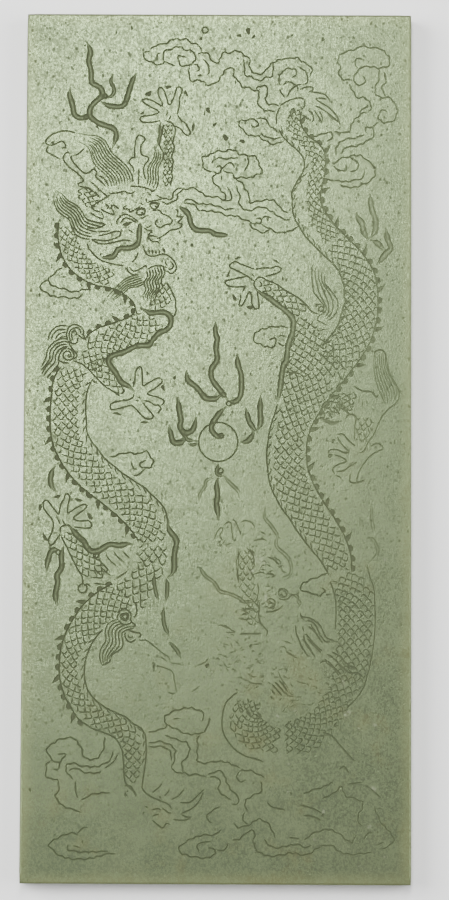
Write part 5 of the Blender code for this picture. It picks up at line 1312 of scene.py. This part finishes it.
@dataclass
class Tablet:
    """The jade tablet: a thin slab with softened edges and an engraved face."""

    node: str = "cover_slab"
    arris: float = 0.0007
    arris_steps: int = 4
    rim_gap: float = 3.0
    rest_gap: float = 4.0
    least_depth: float = 0.03
    rubbed_from: float = 82.0
    rubbed_over: float = 34.0
    rubbed_most: float = 0.38

    def __post_init__(self) -> None:
        """Read the slab's size from the frame."""
        low, high = (np.array(corner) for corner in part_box(self.node))
        self.low = low
        self.high = high
        self.unit = (high[0] - low[0]) / SHEET_WIDE

    def border(self) -> np.ndarray:
        """Points round the flat of the face, in order, inset by the arris.

        Returns:
            Points of the sheet, counter-clockwise from the lower left corner.
        """
        inset = self.arris / self.unit
        wide = np.linspace(inset, SHEET_WIDE - inset, int(SHEET_WIDE / self.rim_gap) + 1)
        long = np.linspace(inset, SHEET_LONG - inset, int(SHEET_LONG / self.rim_gap) + 1)
        sides = (
            np.column_stack([wide[:-1], np.full(len(wide) - 1, inset)]),
            np.column_stack([np.full(len(long) - 1, SHEET_WIDE - inset), long[:-1]]),
            np.column_stack([wide[:0:-1], np.full(len(wide) - 1, SHEET_LONG - inset)]),
            np.column_stack([np.full(len(long) - 1, inset), long[:0:-1]]),
        )
        return np.vstack(sides)

    def net(self, cuts: list[Stroke | Hollow | Patch]) -> tuple[np.ndarray, list, int]:
        """Join the border, every lip and bottom, and a loose grid into one net of triangles.

        Args:
            cuts: Every cut and patch of the picture.

        Returns:
            The points, the triangles, and the number of border points, which come first.
        """
        border = self.border()
        inset = self.arris / self.unit + 0.3
        points = [border]
        rims = len(border)
        edges = [np.column_stack([np.arange(rims), (np.arange(rims) + 1) % rims])]
        total = rims
        low = np.array([inset, inset])
        high = np.array([SHEET_WIDE - inset, SHEET_LONG - inset])
        for cut in cuts:
            for rail in cut.rails():
                rail = np.clip(rail, low, high)
                points.append(rail)
                rank = np.arange(len(rail) - 1) + total
                edges.append(np.column_stack([rank, rank + 1]))
                total += len(rail)
        x, y = np.meshgrid(np.arange(self.rest_gap, SHEET_WIDE - 1, self.rest_gap),
                           np.arange(self.rest_gap, SHEET_LONG - 1, self.rest_gap))
        points.append(np.column_stack([x.ravel(), y.ravel()]))
        flat = np.vstack(points)
        found = delaunay_2d_cdt([Vector(point) for point in flat], np.vstack(edges).tolist(),
                                [], 0, 1e-3, False)
        return np.array([tuple(point) for point in found[0]]), found[2], rims

    def depths(self, spots: np.ndarray, cuts: list[Stroke | Hollow]
               ) -> tuple[np.ndarray, np.ndarray]:
        """The deepest cut and the most dirt over each point of the face.

        Formula: each depth is the deepest cut's, less a share that grows across the rubbed
        stretch of the face to its most. A cut under the least depth is left out.

        Args:
            spots: Points of the sheet.
            cuts: Every cut of the picture.

        Returns:
            One depth for each point, in units of the sheet, and one share of dirt.
        """
        order = np.argsort(spots[:, 1])
        heights = spots[order, 1]
        depth = np.zeros(len(spots))
        dirt = np.zeros(len(spots))
        for cut in cuts:
            low, high = cut.reach()
            band = order[np.searchsorted(heights, low[1]):np.searchsorted(heights, high[1])]
            near = band[(spots[band, 0] >= low[0]) & (spots[band, 0] <= high[0])]
            if len(near):
                deep, dirty = cut.depth_at(spots[near])
                depth[near] = np.maximum(depth[near], deep)
                dirt[near] = np.maximum(dirt[near], dirty)
        rubbed = np.clip((spots[:, 0] - self.rubbed_from) / self.rubbed_over, 0.0, 1.0)
        depth = depth * (1.0 - self.rubbed_most * rubbed)
        depth[depth < self.least_depth] = 0.0
        return depth, dirt

    def skirt(self, border: np.ndarray) -> list[np.ndarray]:
        """The slab's side, as the profile carried round the border.

        Formula: each ring is the border pushed out by the arris times the sine of an angle and
        lowered by the arris times one minus its cosine; the same runs back in below. A corner
        goes out 1.2 times as far.

        Args:
            border: The border points in metres, at the height of the face.

        Returns:
            One ring of points for each step of the profile, from the face to the underside.
        """
        half = (self.high - self.low)[:2] / 2 - self.arris
        middle = (self.high + self.low)[:2] / 2
        away = border[:, :2] - middle
        out = np.where(np.abs(np.abs(away) - half) < 1e-6, np.sign(away), 0.0)
        out = out / np.maximum(np.linalg.norm(out, axis=1, keepdims=True), 1e-9)
        corner = (np.abs(out) > 0.5).all(axis=1)
        reach = np.where(corner, 1.2, 1.0)[:, None] * self.arris
        turns = np.linspace(0.0, math.pi / 2, self.arris_steps + 1)
        rings = []
        for turn in turns[1:]:
            height = self.high[2] - self.arris * (1 - math.cos(turn))
            rings.append(np.column_stack([border[:, :2] + out * reach * math.sin(turn),
                                          np.full(len(border), height)]))
        for turn in turns[::-1]:
            height = self.low[2] + self.arris * (1 - math.cos(turn))
            rings.append(np.column_stack([border[:, :2] + out * reach * math.sin(turn),
                                          np.full(len(border), height)]))
        return rings

    def build(self, graver: Graver) -> bpy.types.Object:
        """Make the whole slab as one closed mesh.

        Args:
            graver: Every cut and patch of the picture.

        Returns:
            The slab's object.
        """
        cuts = graver.cuts
        spots, faces, rims = self.net([*cuts, *graver.patches])
        depth, dirt = self.depths(spots, cuts)
        depth[:rims] = 0.0
        face = np.column_stack([spots * self.unit + self.low[:2],
                                self.high[2] - depth * self.unit])
        rings = self.skirt(face[:rims])
        points = np.vstack([face, *rings])
        sides = []
        upper = np.arange(rims)
        for number in range(len(rings)):
            lower = np.arange(rims) + len(face) + number * rims
            sides.append(np.column_stack([upper, lower, np.roll(lower, -1), np.roll(upper, -1)]))
            upper = lower
        polygons = [list(f) for f in faces] + np.vstack(sides).tolist() + [upper[::-1].tolist()]
        mesh = bpy.data.meshes.new("engraved_cover")
        mesh.from_pydata(points.tolist(), [], polygons)
        mesh.update()
        pale = np.max([patch.strength_at(spots) for patch in graver.patches], axis=0)
        for name, share in (("cut", dirt), ("pale", pale)):
            mark = mesh.attributes.new(name, "FLOAT", "POINT")
            values = np.zeros(len(points), dtype=np.float32)
            values[:len(face)] = share
            mark.data.foreach_set("value", values)
        mesh.shade_smooth()
        mesh.set_sharp_from_angle(angle=math.radians(24))
        smooth = np.ones(len(polygons), dtype=bool)
        smooth[:len(faces)] = depth[np.array([list(f) for f in faces])].max(axis=1) > 1e-4
        mesh.polygons.foreach_set("use_smooth", smooth)
        slab = bpy.data.objects.new("engraved_cover", mesh)
        bpy.context.scene.collection.objects.link(slab)
        LOG.info("engraved_cover: %d points, %d faces, %d cuts", len(points), len(polygons),
                 len(cuts))
        return slab


class Wiring:
    """A small helper that adds nodes to a tree and joins them."""

    def __init__(self, tree: bpy.types.NodeTree) -> None:
        """Keep the tree that is wired."""
        self.tree = tree

    def add(self, kind: str, **settings: object) -> bpy.types.Node:
        """Add a node of a kind, with its settings."""
        node = self.tree.nodes.new(kind)
        for name, value in settings.items():
            setattr(node, name, value)
        return node

    def join(self, source: bpy.types.NodeSocket, target: bpy.types.NodeSocket) -> None:
        """Join two sockets."""
        self.tree.links.new(source, target)

    def math(self, operation: str, first: object, second: object = 0.0,
             clamp: bool = False) -> bpy.types.NodeSocket:
        """Work out a sum, product or the like of two values.

        Args:
            operation: The name of the operation.
            first: A socket or a number.
            second: A socket or a number.
            clamp: Whether the result is kept between nought and one.

        Returns:
            The socket with the result.
        """
        node = self.add("ShaderNodeMath", operation=operation, use_clamp=clamp)
        for slot, value in zip(node.inputs, (first, second)):
            self.feed(value, slot)
        return node.outputs[0]

    def feed(self, value: object, target: bpy.types.NodeSocket) -> None:
        """Join a socket, or set a plain number or colour."""
        if isinstance(value, bpy.types.NodeSocket):
            self.join(value, target)
        else:
            target.default_value = value

    def step(self, value: object, low: float, high: float) -> bpy.types.NodeSocket:
        """A smooth rise from nought at the low value to one at the high one."""
        node = self.add("ShaderNodeMapRange", interpolation_type="SMOOTHSTEP")
        self.feed(value, node.inputs["Value"])
        node.inputs["From Min"].default_value = low
        node.inputs["From Max"].default_value = high
        return node.outputs["Result"]

    def blend(self, share: object, first: object, second: object) -> bpy.types.NodeSocket:
        """Mix two colours by a share."""
        node = self.add("ShaderNodeMix", data_type="RGBA")
        self.feed(share, node.inputs[0])
        self.feed(first, node.inputs[6])
        self.feed(second, node.inputs[7])
        return node.outputs[2]

    def noise(self, place: bpy.types.NodeSocket, scale: float, detail: float = 3.0,
              roughness: float = 0.55) -> bpy.types.NodeSocket:
        """Cloudy noise at a scale in cycles to the metre."""
        node = self.add("ShaderNodeTexNoise")
        self.join(place, node.inputs["Vector"])
        node.inputs["Scale"].default_value = scale
        node.inputs["Detail"].default_value = detail
        node.inputs["Roughness"].default_value = roughness
        return node.outputs["Fac"]


def stone_grain_group() -> bpy.types.NodeTree:
    """Fine grain with darker specks, shared by the jade and the floor.

    Returns:
        A node group with a place and a scale in, and a grain and a speck mask out.
    """
    group = bpy.data.node_groups.new("Stone grain", "ShaderNodeTree")
    group.interface.new_socket("Place", in_out="INPUT", socket_type="NodeSocketVector")
    scale = group.interface.new_socket("Scale", in_out="INPUT", socket_type="NodeSocketFloat")
    scale.default_value = 900.0
    group.interface.new_socket("Grain", in_out="OUTPUT", socket_type="NodeSocketFloat")
    group.interface.new_socket("Specks", in_out="OUTPUT", socket_type="NodeSocketFloat")
    wiring = Wiring(group)
    entry = wiring.add("NodeGroupInput")
    exit_node = wiring.add("NodeGroupOutput")
    grain = wiring.add("ShaderNodeTexNoise")
    wiring.join(entry.outputs["Place"], grain.inputs["Vector"])
    wiring.join(entry.outputs["Scale"], grain.inputs["Scale"])
    grain.inputs["Detail"].default_value = 3.0
    cells = wiring.add("ShaderNodeTexVoronoi")
    wiring.join(entry.outputs["Place"], cells.inputs["Vector"])
    wiring.join(wiring.math("MULTIPLY", entry.outputs["Scale"], 0.5), cells.inputs["Scale"])
    near = wiring.step(cells.outputs["Distance"], 0.34, 0.12)
    chosen = wiring.step(wiring.math("FRACT", wiring.math(
        "MULTIPLY", cells.outputs["Color"], 7.3)), 0.72, 0.86)
    wiring.join(grain.outputs["Fac"], exit_node.inputs["Grain"])
    wiring.join(wiring.math("MULTIPLY", near, chosen), exit_node.inputs["Specks"])
    return group


@dataclass(frozen=True)
class JadeFinish:
    """Polished old jade: dark green body, edges painted paler for the light that shines through the thin
    stone, dirt in the cuts.
    """

    node: str = "cover_slab"
    body: Colour = (0.066, 0.076, 0.045)
    deep: Colour = (0.048, 0.057, 0.036)
    # Painted light: this paler, yellower colour of the edge band stands in for light shining through the
    # stone there.
    pale: Colour = (0.120, 0.132, 0.062)
    soil: Colour = (0.034, 0.036, 0.021)
    rust: Colour = (0.084, 0.074, 0.032)
    fleck: Colour = (0.170, 0.185, 0.125)
    sheen: Colour = (0.74, 1.0, 0.48)
    roughness: float = 0.165
    ior: float = 1.62
    gloss: float = 0.58
    drawn_out: tuple[float, float, float] = (1.0, 0.72, 1.0)
    fine_scale: float = 2400.0
    coarse_scale: float = 1300.0
    mottle_scale: float = 1500.0
    mottle_dark: float = 0.55
    mottle_rough: float = 0.24
    speck_rough: float = 0.6
    groove_rough: float = 0.85
    bump_height: float = 0.000035

    def dress(self, slab: bpy.types.Object, grain: bpy.types.NodeTree) -> None:
        """Give the slab its stone.

        Args:
            slab: The engraved slab.
            grain: The shared grain group.
        """
        material = bpy.data.materials.new("old green jade")
        material.use_nodes = True
        wiring = Wiring(material.node_tree)
        shader = material.node_tree.nodes["Principled BSDF"]
        place = wiring.add("ShaderNodeTexCoord").outputs["Object"]
        cut = wiring.add("ShaderNodeAttribute", attribute_name="cut").outputs["Fac"]
        patch = wiring.add("ShaderNodeAttribute", attribute_name="pale").outputs["Fac"]
        drawn_out = wiring.add("ShaderNodeVectorMath", operation="MULTIPLY")
        wiring.join(place, drawn_out.inputs[0])
        drawn_out.inputs[1].default_value = self.drawn_out
        fine = wiring.add("ShaderNodeGroup", node_tree=grain)
        wiring.join(drawn_out.outputs[0], fine.inputs["Place"])
        fine.inputs["Scale"].default_value = self.fine_scale
        coarse = wiring.add("ShaderNodeGroup", node_tree=grain)
        wiring.join(drawn_out.outputs[0], coarse.inputs["Place"])
        coarse.inputs["Scale"].default_value = self.coarse_scale
        broad = wiring.noise(place, 150.0, 5.0, 0.62)

        half = [(far - near) / 2 for near, far in zip(*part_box(self.node))]
        apart = wiring.add("ShaderNodeSeparateXYZ")
        wiring.join(place, apart.inputs[0])
        waver = wiring.math("MULTIPLY", wiring.noise(place, 60.0), 0.004)
        side = wiring.math("SUBTRACT", half[0], wiring.math("ABSOLUTE", apart.outputs[0]))
        end = wiring.math("SUBTRACT", half[1], wiring.math("ABSOLUTE", apart.outputs[1]))
        edge = wiring.math("ADD", wiring.math("MINIMUM", side, end), waver)
        # Painted light: a band along every edge, strongest at the edge itself, where the stone is painted
        # paler for the light that shines through it.
        painted_edge_glow = wiring.step(edge, 0.0074, 0.0022)

        clouds = wiring.step(wiring.noise(place, 38.0, 4.0, 0.6), 0.36, 0.66)
        colour = wiring.blend(clouds, (*self.deep, 1.0), (*self.body, 1.0))
        speckle = wiring.step(fine.outputs["Grain"], 0.34, 0.70)
        colour = wiring.blend(wiring.math("MULTIPLY", speckle, 0.45), colour,
                              (*(1.35 * value for value in self.body), 1.0))
        # Painted light: the edge band is blended towards the pale colour, a painted glow of light through
        # the stone.
        colour = wiring.blend(wiring.math("MULTIPLY", painted_edge_glow, 0.8), colour, (*self.pale, 1.0))
        corner = wiring.math("SUBTRACT", wiring.math("MULTIPLY", apart.outputs[0], 0.6),
                             apart.outputs[1])
        stained = wiring.math("MULTIPLY", wiring.step(corner, -0.02, 0.12),
                              wiring.step(wiring.noise(place, 70.0, 5.0, 0.65), 0.52, 0.68))
        colour = wiring.blend(wiring.math("MULTIPLY", stained, 0.45), colour, (*self.rust, 1.0))
        bright = wiring.step(wiring.noise(place, 360.0, 3.0, 0.6), 0.675, 0.76)
        colour = wiring.blend(wiring.math("MULTIPLY", bright, 0.55), colour, (*self.fleck, 1.0))
        ragged = wiring.math("MULTIPLY", patch, wiring.step(
            wiring.noise(place, 900.0, 3.0, 0.6), 0.36, 0.62))
        colour = wiring.blend(wiring.math("MULTIPLY", ragged, 0.8), colour, (*self.fleck, 1.0))
        mottle = wiring.step(wiring.noise(
            drawn_out.outputs[0], self.mottle_scale, 4.0, 0.8), 0.43, 0.60)
        colour = wiring.blend(wiring.math("MULTIPLY", mottle, self.mottle_dark), colour,
                              (*self.soil, 1.0))
        specks = wiring.math("MAXIMUM", fine.outputs["Specks"], coarse.outputs["Specks"])
        colour = wiring.blend(wiring.math("MULTIPLY", specks, 0.4), colour, (*self.soil, 1.0))
        rubbed = wiring.math("MAXIMUM", wiring.math("MULTIPLY", wiring.step(
            apart.outputs[0], 0.004, 0.040), 0.5), wiring.math("MULTIPLY", wiring.step(
                apart.outputs[1], -0.03, -0.10), 0.42))
        filled = wiring.step(cut, 0.04, 0.42)
        groove = wiring.math("MULTIPLY", filled, wiring.math("SUBTRACT", 1.0, rubbed))
        colour = wiring.blend(wiring.math("MULTIPLY", groove, 0.9), colour, (*self.soil, 1.0))
        wiring.join(colour, shader.inputs["Base Color"])

        groove = wiring.math("MAXIMUM", groove, wiring.math(
            "MULTIPLY", filled, wiring.step(apart.outputs[1], 0.020, -0.030)))
        uneven = wiring.math("MULTIPLY", wiring.step(broad, 0.46, 0.72), 0.07)
        rough = wiring.math("ADD", self.roughness, uneven)
        rough = wiring.math("ADD", rough, wiring.math("MULTIPLY", mottle, self.mottle_rough))
        rough = wiring.math("ADD", rough, wiring.math("MULTIPLY", specks, self.speck_rough))
        rough = wiring.math("ADD", rough, wiring.math("MULTIPLY", groove, self.groove_rough),
                            clamp=True)
        wiring.join(rough, shader.inputs["Roughness"])

        height = wiring.math("SUBTRACT", fine.outputs["Grain"], specks)
        height = wiring.math("ADD", height, wiring.math("MULTIPLY", broad, 1.6))
        bump = wiring.add("ShaderNodeBump")
        bump.inputs["Strength"].default_value = 1.0
        bump.inputs["Distance"].default_value = self.bump_height
        wiring.join(height, bump.inputs["Height"])
        wiring.join(bump.outputs["Normal"], shader.inputs["Normal"])
        shader.inputs["Specular IOR Level"].default_value = self.gloss
        shader.inputs["IOR"].default_value = self.ior
        shader.inputs["Specular Tint"].default_value = (*self.sheen, 1.0)
        slab.data.materials.append(material)


@dataclass(frozen=True)
class FloorFinish:
    """Plain white paper floor."""

    tint: Colour = (0.92, 0.92, 0.91)
    roughness: float = 0.9

    def dress(self, floor: bpy.types.Object, grain: bpy.types.NodeTree) -> None:
        """Give the floor its paper.

        Args:
            floor: The floor sheet.
            grain: The shared grain group.
        """
        material = bpy.data.materials.new("white paper")
        material.use_nodes = True
        wiring = Wiring(material.node_tree)
        shader = material.node_tree.nodes["Principled BSDF"]
        place = wiring.add("ShaderNodeTexCoord").outputs["Object"]
        fine = wiring.add("ShaderNodeGroup", node_tree=grain)
        wiring.join(place, fine.inputs["Place"])
        fine.inputs["Scale"].default_value = 600.0
        colour = wiring.blend(wiring.math("MULTIPLY", fine.outputs["Grain"], 0.03),
                              (*self.tint, 1.0), (0.8, 0.8, 0.79, 1.0))
        wiring.join(colour, shader.inputs["Base Color"])
        shader.inputs["Roughness"].default_value = self.roughness
        floor.data.materials.append(material)


@dataclass(frozen=True)
class Lamp:
    """One soft rectangular light. The turn is about its own beam, in degrees."""

    name: str
    place: tuple[float, float, float]
    aim: tuple[float, float, float]
    size: tuple[float, float]
    power: float
    turn: float = 0.0

    def hang(self) -> None:
        """Put the light in the scene, turned to its aim."""
        light = bpy.data.lights.new(self.name, "AREA")
        light.shape = "RECTANGLE"
        light.size, light.size_y = self.size
        light.energy = self.power
        lamp = bpy.data.objects.new(self.name, light)
        lamp.location = self.place
        heading = (Vector(self.aim) - Vector(self.place)).to_track_quat("-Z", "Y")
        turned = Matrix.Rotation(math.radians(self.turn), 3, "Z").to_quaternion()
        lamp.rotation_euler = (heading @ turned).to_euler()
        bpy.context.scene.collection.objects.link(lamp)


@dataclass
class Studio:
    """Floor, lights and camera."""

    floor_size: float = 3.0
    lens: float = 128.3
    eye: tuple[float, float, float] = (0.00655, -0.0878, 1.0628)
    turn: tuple[float, float, float] = (0.0815, 0.00376, 0.00476)
    lamps: tuple[Lamp, ...] = (
        Lamp("tall window", (0.006, 0.537, 1.5), (0.006, 0.537, 0.0), (0.066, 1.19), 19.0, -20.4),
        Lamp("small window", (-0.071, 0.378, 1.5), (-0.071, 0.378, 0.0), (0.154, 0.313), 5.4,
             7.8),
        Lamp("left fill", (-1.25, 0.35, 1.1), (0.0, 0.0, 0.0), (1.2, 1.2), 44.0),
        Lamp("right fill", (1.5, 0.1, 1.2), (0.0, 0.0, 0.0), (1.4, 1.4), 33.0),
    )

    def lay_floor(self, grain: bpy.types.NodeTree) -> None:
        """Lay the floor under the slab."""
        half = self.floor_size / 2
        mesh = bpy.data.meshes.new("floor")
        mesh.from_pydata([(-half, -half, 0.0), (half, -half, 0.0), (half, half, 0.0),
                          (-half, half, 0.0)], [], [(0, 1, 2, 3)])
        floor = bpy.data.objects.new("floor", mesh)
        bpy.context.scene.collection.objects.link(floor)
        FloorFinish().dress(floor, grain)

    def set_lights(self) -> None:
        """Hang the lamps and light the air softly."""
        for lamp in self.lamps:
            lamp.hang()
        world = bpy.data.worlds.new("studio")
        world.use_nodes = True
        world.node_tree.nodes["Background"].inputs["Color"].default_value = (1.0, 1.0, 1.0, 1.0)
        world.node_tree.nodes["Background"].inputs["Strength"].default_value = 0.15
        bpy.context.scene.world = world

    def set_camera(self) -> None:
        """Stand the camera nearly square over the slab, with a long lens."""
        data = bpy.data.cameras.new("camera")
        data.lens = self.lens
        data.sensor_width = 36.0
        data.clip_end = 20.0
        camera = bpy.data.objects.new("camera", data)
        axis = Vector(self.turn)
        turned = Matrix.Rotation(axis.length, 4, axis.normalized())
        camera.matrix_world = Matrix.Translation(Vector(self.eye)) @ turned
        bpy.context.scene.collection.objects.link(camera)
        bpy.context.scene.camera = camera


def main() -> None:
    """Build the studio and the tablet, and note the sizes."""
    logging.basicConfig(level=logging.INFO, format="%(name)s: %(message)s")
    grain = stone_grain_group()
    studio = Studio()
    studio.set_camera()
    studio.lay_floor(grain)
    studio.set_lights()
    tablet = Tablet()
    slab = tablet.build(Drawing().cut())
    JadeFinish().dress(slab, grain)
    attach(slab, "root")
    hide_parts(tablet.node)


if __name__ == "__main__":
    main()
